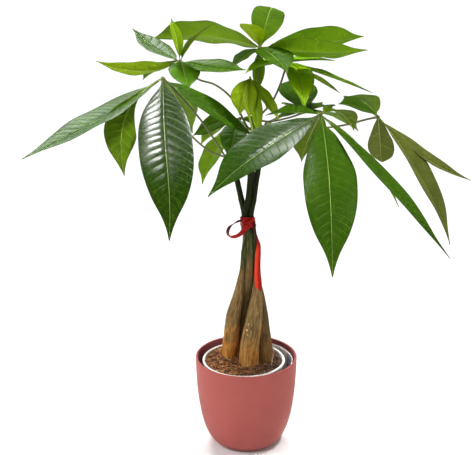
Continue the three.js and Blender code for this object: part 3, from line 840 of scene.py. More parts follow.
def litter_spot(dice):
    """A place on the soil that isn't under a trunk, from the pot's middle."""
    while True:
        radius = (SOIL_EDGE - LITTER_INSET) * math.sqrt(dice.random())
        turn = dice.uniform(0, 2 * math.pi)
        x, y = radius * math.cos(turn), radius * math.sin(turn)
        world = np.array([x + NURSERY_AT[0], y + NURSERY_AT[1]])
        feet = [np.array(shape["course"][2][:2]) for shape in TRUNKS.values()]
        if all(np.linalg.norm(world - foot) > TRUNK_CLEAR for foot in feet):
            return x, y


def litter_tone(dice, x):
    """A chip's colour: paler and more orange at the left, darker at the right."""
    tone = np.array(rgb(dice.choice(LITTER_TONES)))
    warm = np.clip(0.5 - x / 70, 0, 1)
    tone = tone * (0.3 + 0.95 * warm) * LITTER_CAST * dice.uniform(0.8, 1.2)
    return tone + LITTER_GLOW * warm


def over_soil(x, y, lift):
    """A point over the soil, from a place measured from the pot's middle."""
    return x + NURSERY_AT[0], y + NURSERY_AT[1], soil_height(x, y) + lift


def add_chip(builder, dice):
    """A flat uneven chip, leaned over and turned at random."""
    x, y = litter_spot(dice)
    size = np.array([dice.uniform(*span) for span in CHIP_SIZES])
    turn, tilt = dice.uniform(0, math.pi), dice.gauss(0, CHIP_TILT)
    uneven = [[dice.uniform(-CHIP_UNEVEN, CHIP_UNEVEN) for _ in range(3)] for _ in range(8)]
    chip = CUBE * size * (1 + np.array(uneven))
    c, s = math.cos(turn), math.sin(turn)
    spin = np.array([[c, -s, 0], [s, c, 0], [0, 0, 1]])
    c, s = math.cos(tilt), math.sin(tilt)
    lean = np.array([[c, 0, s], [0, 1, 0], [-s, 0, c]])
    points = chip @ lean.T @ spin.T + np.array(over_soil(x, y, CHIP_LIFT))
    builder.add(points, CUBE_FACES, second=litter_tone(dice, x))


def add_fibre(builder, dice):
    """A thin bent fibre that arches a little off the soil. One that would reach the pot is left out."""
    x, y = litter_spot(dice)
    heading, bend = dice.uniform(0, 2 * math.pi), dice.gauss(0, FIBRE_BEND)
    length, rise = dice.uniform(*FIBRE_LENGTH), dice.uniform(*FIBRE_RISE)
    places = []
    px, py = x, y
    for k in range(FIBRE_STEPS):
        places.append((px, py, rise * math.sin(math.pi * k / (FIBRE_STEPS - 1)) + FIBRE_LIFT))
        px += math.cos(heading) * length / FIBRE_STEPS
        py += math.sin(heading) * length / FIBRE_STEPS
        heading += bend
    if math.hypot(px, py) > SOIL_EDGE - FIBRE_INSET:
        return
    line = np.array([over_soil(*place) for place in places])
    _, tangents = spaced(line, FIBRE_STEPS)
    radii = np.full(FIBRE_STEPS, dice.uniform(*FIBRE_RADIUS))
    add_tube(builder, line, tangents, radii, FIBRE_SIDES, second=litter_tone(dice, x) * FIBRE_PALENESS)


def make_litter():
    """Loose chips, fibres and stalks on the soil."""
    dice = random.Random(LITTER_SEED)
    builder = Builder()
    for _ in range(LITTER_CHIPS):
        add_chip(builder, dice)
    for _ in range(LITTER_FIBRES):
        add_fibre(builder, dice)
    for points, radius, tone in STALKS:
        places, tangents = spaced(smooth_path(points), STALK_RINGS)
        radii = np.linspace(radius, radius * 0.6, STALK_RINGS)
        add_tube(builder, places, tangents, radii, STALK_SIDES, second=rgb(tone))
    return hand_in(builder.make("soil_litter", [litter_paint()]), "soil")


# Trunks

TRUNK_RADIUS = [
    [62, 8], [88, 11.4], [118, 12.4], [150, 11.8], [181, 10.8], [196, 9.4], [211, 8.1], [221, 6.8],
    [232, 5.8], [247, 4.8], [262, 4.4], [283, 4.1], [330, 3.95], [374, 3.75], [480, 2.9],
]
TIE_Z = 323
TRUNK_SIDES = 10
BARK_ROWS = 210
BARK_SIDES = 36
BARK_RIDGE = 0.045
BARK_LUMP = 0.05
WOODY_TO = 265
WOODY_FADE = 60
OLD_SCAR_FROM = 270
OLD_SCAR_EVERY = 37
OLD_SCAR_SIZE = 0.35
BUDS = 3
BUD_RADII = [1.6, 2.0, 2.0, 1.8, 1.6, 1.3, 1.0, 0.7, 0.4, 0.12]
BUD_SIDES = 10

TRUNKS = {
    "left": {
        "girth": 0.9, "age": 0.1, "warmth": 1.0, "green": 0,
        "course": [
            [-24, 21, 62], [-24, 21, 85], [-24, 21, 112], [-21, 17, 150], [-17.5, 14, 181],
            [-11.6, 9, 211], [-8.2, 6.8, 232], [-5, 7.6, 250], [-3.2, 6.6, 275], [-1.2, 5.4, 300],
            [-3.3, 7.6, 316], [-3, 9.7, 330], [-6.8, 8.9, 350], [-11.8, 8, 374], [-17, 7, 400],
            [-22, 6, 428],
        ],
    },
    "front": {
        "girth": 1.12, "age": 0.2, "warmth": 0.6, "green": 0,
        "course": [
            [3, -5, 62], [3, -5, 85], [3, -5, 112], [5.7, -3.2, 150], [10.5, -1, 181], [14, 1.5, 211],
            [15.1, 3.6, 232], [14.5, 4.5, 250], [13.5, 3.8, 275], [10, 4.5, 300], [7.7, 3.2, 316],
            [5.5, 1.6, 330], [9.4, 4, 353], [12.1, 4.5, 374], [17, 5, 405], [24, 2, 452],
        ],
    },
    "right": {
        "girth": 1, "age": 0.8, "warmth": 0.15, "green": 4,
        "course": [
            [27, 8, 62], [27, 8, 85], [27, 8, 112], [22.3, 16.2, 150], [19, 20.5, 181],
            [16.8, 19, 211], [13.5, 16.5, 232], [8.7, 13.2, 250], [7.8, 10.8, 275], [5, 11.4, 300],
            [4.7, 10.9, 316], [4.7, 10, 330], [5, 12, 353], [6, 14, 374], [8, 15, 410], [9, 15, 470],
        ],
    },
    "back": {
        "girth": 1, "age": 0.65, "warmth": 0.3, "green": 22,
        "course": [
            [0, 27, 62], [1, 32, 85], [1, 33, 112], [-2, 32, 150], [-3, 30, 181], [0, 20.5, 211],
            [3, 7.5, 232], [3.3, -0.2, 250], [4.4, -0.8, 275], [4, -1.8, 300], [0.1, -0.3, 316],
            [-2.6, 1.2, 330], [1.9, 0.2, 353], [3.9, -1.5, 374], [6, -6, 410], [8, -12, 462],
        ],
    },
}


def trunk_radius(shape, height):
    share = np.clip((TIE_Z - height) / (TIE_Z - SOIL_TOP), 0, 1)
    return float(along(TRUNK_RADIUS, height) * (1 + (shape["girth"] - 1) * share))


def trunk_at(shape, height):
    """The middle line's place at a height, and its direction there."""
    dense = smooth_path(shape["course"])
    place = np.array([np.interp(height, dense[:, 2], dense[:, k]) for k in range(3)])
    above = np.array([np.interp(height + 1, dense[:, 2], dense[:, k]) for k in range(3)])
    return place, unit(above - place)


def make_trunk(name, shape, paints):
    """A trunk with bark ridges, old leaf scars on the green part and buds at its tip."""
    places, tangents = spaced(smooth_path(shape["course"]), BARK_ROWS)
    seed = 10.0 * list(TRUNKS).index(name)
    turns = np.linspace(0, 2 * math.pi, BARK_SIDES, endpoint=False)
    radii = np.zeros((BARK_ROWS, BARK_SIDES))
    spots = np.zeros((BARK_ROWS, BARK_SIDES, 3))
    for row, height in enumerate(places[:, 2]):
        base = trunk_radius(shape, height)
        woody = np.clip((WOODY_TO - height) / WOODY_FADE, 0.12, 1)
        scar = 0
        if height > OLD_SCAR_FROM:
            scar = OLD_SCAR_SIZE * math.exp(-((height + 3.7 * seed) % OLD_SCAR_EVERY - 18) ** 2 / 5)
        taper = min(1.0, math.sqrt(max(0.02, (BARK_ROWS - 1 - row) / 4)))
        for k, turn in enumerate(turns):
            x, y = math.cos(turn), math.sin(turn)
            ridge = noise.fractal(Vector((x * 1.1, y * 1.1, height * 0.012 + seed)) * 2.4, 0.7, 2.1, 4)
            lump = noise.noise(Vector((x * 0.8, y * 0.8, height * 0.03 + seed)))
            swell = 1 + woody * (BARK_RIDGE * ridge + BARK_LUMP * lump)
            radii[row, k] = (base * swell + scar) * taper
            spots[row, k] = (base * x + seed, base * y, height)
    builder = Builder()
    tones = (shape["age"], shape["warmth"], shape["green"])
    add_tube(builder, places, tangents, radii, BARK_SIDES, 0, spots, tones)
    tip, way = places[-1], tangents[-1]
    for k in range(BUDS):
        lean = np.array([math.cos(2.1 * k + seed), math.sin(2.1 * k + seed), 0])
        points = [tip - way * 2 + lean * 0.6, tip + way * 2.5 + lean * 1.6, tip + way * 6.5 + lean * 1.0]
        line, lines = spaced(smooth_path(points), len(BUD_RADII))
        add_tube(builder, line, lines, BUD_RADII, BUD_SIDES, 1)
    if name == "front":
        add_scar(builder, shape)
    piece = builder.make(f"trunk_{name}_bark", paints)
    return hand_in(piece, "bark", f"trunk_{name}")


SCAR_HEIGHT = 174
SCAR_SIZE = 1.4
SCAR_TURN_DEG = 264
SCAR_ROOTS = [
    [[-26, 6], [-8, 1], [10, -5]], [[-20, -7], [-4, 0], [14, 7]],
    [[4, 3], [16, 1], [26, -6]], [[-4, 8], [2, 3], [6, -9]],
]
ROOT_RADII = [0.2, 0.45, 0.6, 0.7, 0.75, 0.75, 0.7, 0.65, 0.6, 0.5, 0.4, 0.2]
ROOT_SIDES = 8
ROOT_TONES = (0.5, 0.6, 0)
SCAR_SPECKS = [[-21, 3.5, 1.0], [-25, -2.5, 1.2], [-16, -7, 0.7]]


def add_scar(builder, shape):
    """Where a shoot was cut: short dry roots lying crosswise on the bark, and pale specks of old sap."""
    def on_bark(turn, rise, lift):
        rise *= SCAR_SIZE
        middle, _ = trunk_at(shape, SCAR_HEIGHT + rise)
        angle = math.radians(SCAR_TURN_DEG + turn * SCAR_SIZE)
        out = np.array([math.cos(angle), math.sin(angle), 0])
        return middle + out * (trunk_radius(shape, SCAR_HEIGHT + rise) * 1.02 + lift), out

    for root in SCAR_ROOTS:
        line = [on_bark(turn, rise, 0.25)[0] for turn, rise in root]
        places, tangents = spaced(smooth_path(line), len(ROOT_RADII))
        spots = np.repeat(places + np.array([40.0, 0, 0]), ROOT_SIDES, axis=0)
        add_tube(builder, places, tangents, ROOT_RADII, ROOT_SIDES, 0, spots, ROOT_TONES)
    for turn, rise, size in SCAR_SPECKS:
        place, out = on_bark(turn, rise, 0.1)
        add_ball(builder, place, (size, size * 1.4, 0.45), 2, axis=out)


# Ribbon

BAND_LOW = 315.7
BAND_HEIGHT = 14.6
BAND_CLEAR = 0.8
BAND_DROOP = 0.33
RIBBON_WIDTH = 10
RIBBON_THICKNESS = 0.45
LOOP = [
    [2, -6.3, 319], [-3, -7.6, 314.5], [-9, -8.8, 308.5], [-17, -9, 305], [-23, -9, 306.5],
    [-24.6, -8.5, 310.5], [-23, -7.5, 316], [-19, -6, 320], [-12, -4.5, 324], [-5.5, -1.5, 325],
]
LOOP_SIDES = [
    [-0.6, -0.2, 0.8], [-0.5, -0.3, 0.8], [-0.2, -0.5, 0.8], [0.1, -0.6, 0.7], [0.3, -0.85, 0.35],
    [0.45, -0.8, 0.2], [0.35, -0.85, 0], [0.1, -0.85, 0.2], [0, -0.8, 0.6], [0, -0.8, 0.6],
]
TAIL = [
    [8.6, -3.8, 324], [10.8, -3.8, 316], [12.4, -3.1, 307], [14.4, -2.2, 299], [16.4, -1.6, 290],
    [15.8, -1.8, 280], [15, -1.8, 262], [15, -2.2, 248], [16.3, -4.4, 228],
]
TAIL_SIDES = [
    [0.6, -0.3, 0.6], [0.8, 0.1, 0.5], [0.85, 0.4, 0.3], [0.85, 0.4, 0.2], [0.95, 0.3, 0], [1, 0.2, 0],
    [1, 0.1, 0], [1, 0.1, 0], [0.97, 0, 0.1],
]
TAIL_GATHER = [0.5, 0.34, 0.3, 0.36, 0.62, 0.82, 0.88, 0.92, 0.94]
# Painted light along the tail and the loop, one value at each point: above 0 a painted highlight, below 0
# painted shade.
TAIL_PAINTED_LIGHT = [-1, -1, -1, -0.7, 0.5, 1, 1, 0.9, 0.7]
LOOP_PAINTED_SHADE = [0, 0, 0, 0, -0.2, -0.7, -0.8, -0.8, -0.8, -0.6]
WRAP = [
    [9.5, 1, 328], [7.5, -2.2, 327], [4, -4.9, 324.5], [0, -5.6, 321], [-3.6, -4.6, 318.5],
    [-6.4, -0.5, 317], [-7, 4, 316.5],
]
WRAP_SIDES = [
    [0, -0.3, 1], [0.1, -0.4, 0.9], [0.3, -0.3, 0.9], [0.35, -0.2, 0.9], [0.3, -0.1, 0.9],
    [0.1, 0, 1], [0, 0, 1],
]
RIBBON_COLUMNS = 13
WRAP_STEPS = 36
LOOP_STEPS = 80
TAIL_STEPS = 90
BAND_SIDES = 96
BAND_ROWS = 26
BAND_PLEAT = 0.42
BAND_LAP = 0.5
BAND_DROOP_MOST = 4.5
STRING_TURNS = 720


def add_strip(builder, points, sides, width, steps, folds=0.0, cut=0.0, gather=None, light=None):
    """A ribbon along a path, with soft lengthwise folds, an end cut on the slant, and a painted light level
    carried along it.
    """
    places, tangents = spaced(smooth_path(points), steps)
    spans = np.linalg.norm(np.diff(np.array(points, float), axis=0), axis=1)
    known = np.concatenate([[0], np.cumsum(spans)]) / spans.sum()
    shares = np.linspace(0, 1, steps)
    turns = np.stack([np.interp(shares, known, np.array(sides, float)[:, k]) for k in range(3)], axis=1)
    side = unit(turns - tangents * np.sum(turns * tangents, axis=1, keepdims=True))
    widths = width * np.interp(shares, known, gather or [1] * len(points))
    # The painted light level of each row: painted highlight above 0, painted shade below 0.
    lights = np.interp(shares, known, light or [0] * len(points))
    face = np.cross(side, tangents)
    across = np.linspace(-1, 1, RIBBON_COLUMNS)
    curl = 0.5 * across**2
    sheets = []
    measures = []
    for lift in (RIBBON_THICKNESS / 2, -RIBBON_THICKNESS / 2):
        for row in range(steps):
            share = row / (steps - 1)
            shift = cut * width * np.clip((share - 0.9) / 0.1, 0, 1)
            crease = folds * np.sin(across * 7.5 + share * 5)
            crease = crease + 0.35 * folds * np.cos(across * 13 - share * 9)
            for a, c, u in zip(across, crease, curl):
                point = places[row] + side[row] * a * widths[row] / 2 + face[row] * (lift + c + u)
                sheets.append(point + tangents[row] * shift * a)
                measures.append((share * steps, a, lights[row]))
    one, other, rim = sheet_faces(steps, RIBBON_COLUMNS, flip=True)
    builder.add(sheets, one + other + rim, first=measures)


def band_outline(height, count):
    """Points on a string pulled tight round the trunks at a height, spread evenly."""
    circles = [(trunk_at(shape, height)[0][:2], trunk_radius(shape, height)) for shape in TRUNKS.values()]
    corners = []
    for k in range(STRING_TURNS):
        turn = math.radians(k * 360 / STRING_TURNS)
        way = np.array([math.cos(turn), math.sin(turn)])
        centre, radius = max(circles, key=lambda c: c[0].dot(way) + c[1])
        corners.append(centre + way * (radius + BAND_CLEAR))
    corners = np.array(corners + corners[:1])
    steps = np.concatenate([[0], np.cumsum(np.linalg.norm(np.diff(corners, axis=0), axis=1))])
    at = np.linspace(0, steps[-1], count, endpoint=False)
    return np.stack([np.interp(at, steps, corners[:, k]) for k in (0, 1)], axis=1)


def add_band(builder):
    """The ribbon's band round the trunks, in soft pleats, with a step that stands for its second turn."""
    heights = np.linspace(BAND_LOW, BAND_LOW + BAND_HEIGHT, BAND_ROWS)
    turn = np.linspace(0, 2 * math.pi, BAND_SIDES, endpoint=False)
    sheets = []
    measures = []
    for lift in (RIBBON_THICKNESS, 0.0):
        for height in heights:
            ring = band_outline(height, BAND_SIDES)
            out = unit(ring - ring.mean(axis=0))
            share = (height - BAND_LOW) / BAND_HEIGHT
            pleat = BAND_PLEAT * np.abs(np.sin(math.pi * (2.6 * share + 0.25 * np.sin(turn + 0.6)))) ** 0.7
            lap = BAND_LAP / (1 + np.exp(-(share - 0.48 - 0.12 * np.sin(turn)) * 30))
            ring = ring + out * (lift + pleat + lap)[:, None]
            droop = BAND_DROOP * (ring[:, 1] - ring[:, 1].min())
            droop = np.minimum(droop, BAND_DROOP_MOST) * share
            for (x, y), z in zip(ring, height - droop):
                sheets.append((x, y, z))
                measures.append((share * 8, math.hypot(x, y), 0))
    count = BAND_ROWS * BAND_SIDES
    faces = ring_faces(BAND_ROWS, BAND_SIDES)
    faces += [tuple(k + count for k in face) for face in ring_faces(BAND_ROWS, BAND_SIDES, flip=True)]
    for k in range(BAND_SIDES):
        n = (k + 1) % BAND_SIDES
        faces.append((n, k, k + count, n + count))
        a, b = count - BAND_SIDES + k, count - BAND_SIDES + n
        faces.append((a, b, b + count, a + count))
    builder.add(sheets, faces, first=measures)


def make_ribbon():
    builder = Builder()
    add_band(builder)
    add_strip(builder, WRAP, WRAP_SIDES, RIBBON_WIDTH * 0.75, WRAP_STEPS, folds=0.45)
    add_strip(builder, LOOP, LOOP_SIDES, RIBBON_WIDTH * 0.8, LOOP_STEPS, folds=0.12, light=LOOP_PAINTED_SHADE)
    add_strip(builder, TAIL, TAIL_SIDES, RIBBON_WIDTH * 0.92, TAIL_STEPS, folds=0.1, cut=0.35,
              gather=TAIL_GATHER, light=TAIL_PAINTED_LIGHT)
    ribbon = hand_in(builder.make("ribbon_satin", [ribbon_paint()]), "ribbon", "ribbon")
    return ribbon


# Leaves. LEAVES repeats the solids' own values: where the petiole leaves its trunk, its way to the
# hub, and each leaflet's tip from the hub, width, bow, sway and the way that its upper side looks.
# The folds, quilts and looks, and some of the outlines, are the scene's own.

# The upper side's colour, the under side's, the gloss near the hub and the gloss over the whole blade
LOOKS = {
    "wet": ("33550a", "6b8c1c", 0.0, 0.9),
    "deep": ("1e3600", "58791e", 1.7, 0.03),
    "dark": ("1e3a00", "58791e", 0.75, 0.02),
    "mid": ("3a6000", "6b8c1c", 0.5, 0.1),
    "calm": ("335400", "60801a", 0.0, 0.06),
    "fresh": ("4a7a00", "6b8c1c", 0.0, 0.3),
    "crown": ("446400", "6c8c00", 0.0, 0.0),
    "bright": ("709c00", "80a800", 0.0, 0.08),
    "spring": ("7ca600", "80a800", 0.0, 0.08),
    "lime": ("a0bc00", "c0dc00", 0.0, 0.1),
    "young": ("a0bc00", "a8c800", 0.0, 0.1),
    "moss": ("7c980a", "80980a", 0.0, 0.12),
    "dusk": ("4a6400", "5a7000", 0.0, 0.03),
    "bronze": ("4f7400", "587800", 0.0, 0.1),
    "olive": ("6e7632", "6c7030", 0.0, 0.1),
}

BLADE_OUTLINE = [
    [0, 0.05], [0.06, 0.05], [0.16, 0.42], [0.3, 0.78], [0.47, 1], [0.62, 0.94], [0.77, 0.64],
    [0.89, 0.24], [0.96, 0.08], [1, 0.02],
]
BROAD_OUTLINE = [
    [0, 0.05], [0.04, 0.18], [0.12, 0.62], [0.24, 0.88], [0.42, 1], [0.6, 0.96], [0.77, 0.68],
    [0.89, 0.28], [0.96, 0.09], [1, 0.02],
]
SPOON_OUTLINE = [
    [0, 0.05], [0.06, 0.14], [0.2, 0.4], [0.36, 0.64], [0.55, 0.9], [0.7, 1], [0.83, 0.92], [0.94, 0.6],
    [1, 0.12],
]
FRONT_OUTLINE = [
    [0, 0.05], [0.05, 0.08], [0.14, 0.42], [0.27, 0.82], [0.45, 1], [0.62, 0.94], [0.77, 0.65],
    [0.89, 0.25], [0.96, 0.08], [1, 0.02],
]
DROP_OUTLINE = [
    [0, 0.05], [0.05, 0.05], [0.22, 0.1], [0.36, 0.38], [0.5, 0.84], [0.64, 1], [0.78, 0.74], [0.9, 0.28],
    [0.97, 0.08], [1, 0.02],
]
CROWN_OUTLINE = [
    [0, 0.05], [0.05, 0.18], [0.14, 0.66], [0.26, 0.96], [0.38, 1], [0.48, 0.88], [0.56, 0.6], [0.64, 0.36],
    [0.8, 0.2], [1, 0.03],
]
BLADE_FOLD = 0.2


def tip(place, width, look, bow=None, sway=0, face=(0, 0, 1), outline=BLADE_OUTLINE, fold=BLADE_FOLD):
    return {"place": place, "width": width, "look": look, "bow": bow, "sway": sway, "face": face,
            "outline": outline, "fold": fold}


LEAVES = {
    "a": {
        "from": "left", "height": 388, "turn": 255,
        "via": [[-29, -20, 420], [-59, -42, 473], [-86, -62, 510]],
        "hub": [-103, -70, 531], "quilt": 1.0,
        "leaflets": [
            tip([-155, -120, -70], 52, "wet", bow=-6),
            tip([-43, -70, -104], 42, "bronze", bow=4, sway=-26, face=(-0.3, 1, 0.3), outline=DROP_OUTLINE),
            tip([14, -141, -161], 64, "deep", outline=FRONT_OUTLINE),
            tip([115, 20, -80], 36, "mid", bow=-1, face=(0, -0.4, 1)),
            tip([33, 62, -85], 38, "fresh"),
        ],
    },
    "b": {
        "from": "back", "height": 452, "turn": 160, "via": [[-19, -2, 490], [-41, 5, 507], [-64, 9, 514]],
        "hub": [-86, 10, 537], "quilt": 0.9,
        "leaflets": [
            tip([-68, 82, 28], 38, "wet", bow=-6),
            tip([-6, -69, 65], 15, "young", face=(0.3, 1, 0.6)),
            tip([44, -55, 56], 21, "moss", face=(-0.9, 0.6, 0.6)),
            tip([-98, -76, 14], 31, "young", bow=-14, face=(0, 1.2, 1)),
            tip([85, -78, 4], 38, "mid", bow=-4, face=(0, -0.35, 1)),
            tip([13, -60, -25], 40, "fresh"),
            tip([-55, 74, -40], 36, "deep"),
        ],
    },
    "c": {
        "from": "back", "height": 456, "turn": 60, "via": [[14, -2, 490], [15, 0, 525]],
        "hub": [16, -6, 557], "quilt": 0.6,
        "leaflets": [
            tip([-145, 106, -8], 60, "bright", bow=11, face=(0.2, 0.8, 1), outline=BROAD_OUTLINE),
            tip([16, 147, 14], 42, "crown", bow=31, face=(0.22, 0, 1), outline=CROWN_OUTLINE, fold=0.03),
            tip([-21, -54, 39], 30, "lime", bow=6),
            tip([136, 50, 6], 56, "bright", bow=-4, face=(0, 1.2, 1)),
            tip([128, -87, 13], 48, "bright", bow=-4, face=(0, 1, 1)),
            tip([-36, -32, -20], 24, "calm"),
            tip([33, -93, -14], 44, "calm"),
            tip([-2, 14, -60], 16, "bright", bow=0, face=(0, -1, 0.2)),
        ],
    },
    "d": {
        "from": "right", "height": 460, "turn": 0, "via": [[32, 12, 482], [43, 15, 505]],
        "hub": [52, 20, 534], "quilt": 0.5,
        "leaflets": [
            tip([18, -108, -37], 34, "spring", bow=12, sway=-4),
            tip([115, 30, -47], 34, "bright", bow=1),
            tip([73, 42, -50], 30, "fresh", bow=0),
            tip([-55, -72, -1], 22, "bright", bow=6, face=(0, -0.2, 1)),
            tip([66, 55, -9], 36, "bright", bow=2),
        ],
    },
    "e": {
        "from": "front", "height": 400, "turn": -60,
        "via": [[34, -34, 420], [55, -64, 444], [72, -95, 474]],
        "hub": [88, -120, 498], "quilt": 0.45,
        "leaflets": [
            tip([7, -157, -147], 62, "calm", sway=-2, face=(0.05, 0, 1)),
            tip([-131, -120, -66], 60, "dark", bow=8, face=(0, -0.3, 1)),
            tip([136, -153, -126], 44, "calm", bow=4, sway=3, face=(0.4, 0.1, 1)),
            tip([-66, 10, -4], 40, "calm"),
            tip([46, 63, -36], 36, "dusk", bow=13),
            tip([101, 21, -123], 34, "calm", bow=9),
            tip([-19, 63, -76], 40, "dusk"),
        ],
    },
    "g": {
        "from": "front", "height": 445, "turn": 10, "via": [[60, -2, 449], [123, 2, 454], [155, 7, 461]],
        "hub": [171, 10, 464], "quilt": 0.35,
        "leaflets": [
            tip([12, 40, -72], 36, "olive", bow=0, outline=SPOON_OUTLINE),
            tip([98, -31, -166], 54, "olive", bow=12, face=(0.3, -0.2, 1)),
            tip([133, 34, -96], 40, "olive", bow=-10, face=(0.2, -0.25, 1)),
            tip([-36, 82, 8], 44, "dusk", bow=8),
            tip([-57, -62, 31], 38, "calm", face=(0, -0.6, 1)),
        ],
    },
    "h": {
        "from": "left", "height": 420, "turn": 60, "via": [[-14, 26, 442]],
        "hub": [-9, 30, 457], "quilt": 1.0,
        "leaflets": [
            tip([-64, 30, -32], 38, "calm", bow=6, face=(0, -0.6, 1)),
            tip([-56, 76, -57], 34, "bright"),
            tip([-53, 52, -107], 46, "bright"),
            tip([-14, -94, -32], 34, "fresh"),
            tip([47, 52, -44], 34, "calm", face=(0, -0.5, 1)),
        ],
    },
    "i": {
        "from": "back", "height": 452, "turn": 265, "via": [[2, -31, 480], [3, -36, 505]],
        "hub": [4, -34, 525], "quilt": 0.5, "young": 1,
        "leaflets": [
            tip([-13, -31, -42], 32, "moss", bow=4, face=(-0.3, -1, 0.7)),
            tip([-1, -47, -45], 18, "moss", bow=5, face=(0, -1, 0.9)),
            tip([9, -54, -68], 16, "moss", bow=9, face=(0.3, -1, 0.7)),
            tip([37, -36, -48], 22, "moss", bow=1, face=(0.6, -0.5, 0.8)),
            tip([-17, 8, -34], 22, "moss"),
            tip([22, 6, -44], 22, "moss"),
        ],
    },
    "k": {
        "from": "right", "height": 450, "turn": 60, "via": [[30, 32, 452], [60, 42, 456]],
        "hub": [77, 45, 462], "quilt": 0.7,
        "leaflets": [
            tip([-18, 73, 28], 54, "calm"),
            tip([42, 77, -12], 40, "calm"),
            tip([1, 167, -43], 58, "calm"),
            tip([84, 120, -56], 44, "calm"),
            tip([-52, 95, -46], 40, "calm", face=(0, -0.6, 1)),
        ],
    },
    "l": {
        "from": "left", "height": 405, "turn": 165, "via": [[-48, 19, 414], [-84, 46, 441]],
        "hub": [-100, 80, 470], "quilt": 0.9,
        "leaflets": [
            tip([-40, 80, -107], 44, "fresh"),
            tip([-29, 150, -135], 50, "fresh"),
            tip([22, 100, -52], 34, "fresh"),
        ],
    },
}
SLOTS = {"g": "old_leaf", "i": "young_leaf"}

BLADE_ROWS = 92
BLADE_ACROSS = [0.03, 0.075, 0.14, 0.24, 0.36, 0.49, 0.62, 0.75, 0.87, 0.95, 0.985, 1]
BLADE_THICKNESS = 0.6
BLADE_BOW = 0.05
BLADE_WANDER = 0.014
BLADE_LEAST = 0.45
BLADE_RIPPLE = (0.5, 1.3)
BLADE_RIPPLES = (2.2, 3.4)
VEIN_SPACING = 10
VEIN_RIDGE = 0.18
VEIN_RIDGE_WIDTH = 0.07
QUILT_HEIGHT = 1.0
QUILT_FULL_WIDTH = 45
GROOVE_DEPTH = 0.7
GROOVE_WIDTH = 1.3
RIB_HEIGHT = 1.0
RIB_WIDTH = 1.0
TINT_SHADE = (0.86, 1.14)
TINT_WARMTH = 0.06
STEM_TINT = "5d7a24"
PETIOLE_RADIUS = 1.35
PETIOLE_SIDES = 14
PETIOLE_STEP = 3
PETIOLE_SEAT = 0.4
FOOT_SWELL = 1.3
HUB_SWELL = 0.9
HUB_RADII = np.array([2.4, 2.4, 1.9])
TOP, UNDER, STEM = 0, 1, 2


def add_leaflet(builder, hub, leaf, item, dice):
    """One leaflet: a thin closed blade, folded along its rib and quilted between its side veins."""
    start = np.array(hub, float)
    reach = np.array(item["place"], float)
    length = float(np.linalg.norm(reach))
    look = np.array(item["face"], float)
    axis = reach / length
    out = unit(look - axis * look.dot(axis))
    bow = BLADE_BOW * length if item["bow"] is None else item["bow"]
    sideways = unit(np.cross(axis, look))
    control = start + reach * 0.5 + out * 2 * bow + sideways * 2 * item["sway"]
    t = np.linspace(0, 1, BLADE_ROWS)[:, None]
    centre = (1 - t)**2 * start + 2 * t * (1 - t) * control + t**2 * (start + reach)
    tangent = unit((1 - t) * (control - start) + t * (start + reach - control))
    side = unit(np.cross(tangent, look))
    normal = np.cross(side, tangent)
    way = t[:, 0]

    wander = dice.uniform(-BLADE_WANDER, BLADE_WANDER) * length
    centre = centre + side * (wander * np.sin(2 * math.pi * way) * way)[:, None]
    half = np.maximum(rounded(item["outline"], way) * item["width"] / 2, BLADE_LEAST)
    across = np.array([-a for a in reversed(BLADE_ACROSS)] + [0] + BLADE_ACROSS)
    wide = np.abs(across)[None]
    lateral = across[None] * half[:, None]

    veins = max(8, round(length / VEIN_SPACING))
    phase = veins * (way[:, None] - VEIN_LEAN * wide - VEIN_HOOK * wide**4)
    stray = STRAY_TURNS * way[:, None] + STRAY_SIDE * np.sign(across)[None]
    phase = phase + VEIN_STRAY * np.sin(stray)
    off = np.abs(phase - np.round(phase))
    ends = np.sin(math.pi * np.clip(way, 0, 1))[:, None]
    quilt = QUILT_HEIGHT * leaf["quilt"] * min(1.0, item["width"] / QUILT_FULL_WIDTH)
    fade = np.clip(wide * 7, 0, 1) * (1 - wide**5) * ends**0.5
    pillow = quilt * fade * np.sin(math.pi * np.clip(off, 0, 0.5))**0.65

    ripple = dice.uniform(*BLADE_RIPPLE) * item["width"] / 50
    ripples = dice.uniform(*BLADE_RIPPLES)
    starts = dice.uniform(0, 6.28), dice.uniform(0, 6.28)
    start_of = np.where(across[None] < 0, starts[0], starts[1])
    wave = np.sin(2 * math.pi * ripples * way[:, None] + start_of)
    fold = item["fold"] * half[:, None] * (1.55 * wide - 0.55 * wide**2.2)
    lift = fold + pillow + ripple * wide**3 * wave * ends
    groove = GROOVE_DEPTH * np.exp(-(lateral / GROOVE_WIDTH)**2) * (1 - 0.6 * way[:, None])
    ridge = RIB_HEIGHT * np.exp(-(lateral / RIB_WIDTH)**2) * (1 - 0.75 * way[:, None])
    vein_ridge = VEIN_RIDGE * np.exp(-(off / VEIN_RIDGE_WIDTH)**2) * (1 - wide**2) * np.clip(wide * 9, 0, 1)
    thin = BLADE_THICKNESS / 2 * (1 - 0.5 * wide**6)

    sheets = []
    for height in (lift - groove + thin, lift - ridge - vein_ridge - thin):
        sheet = centre[:, None] + side[:, None] * lateral[..., None] + normal[:, None] * height[..., None]
        sheets.append(sheet.reshape(-1, 3))
    one, other, rim = sheet_faces(BLADE_ROWS, len(across))
    slots = [TOP] * len(one) + [UNDER] * len(other + rim)
    measures = np.stack(np.broadcast_arrays(lateral, way[:, None], across[None]), axis=-1).reshape(-1, 3)
    points = np.concatenate(sheets)
    gloss = LOOKS[item["look"]][2:]
    builder.add(points, one + other + rim, slots, np.concatenate([measures, measures]), (veins, *gloss))
    builder.tint(item["look"], dice, len(points))


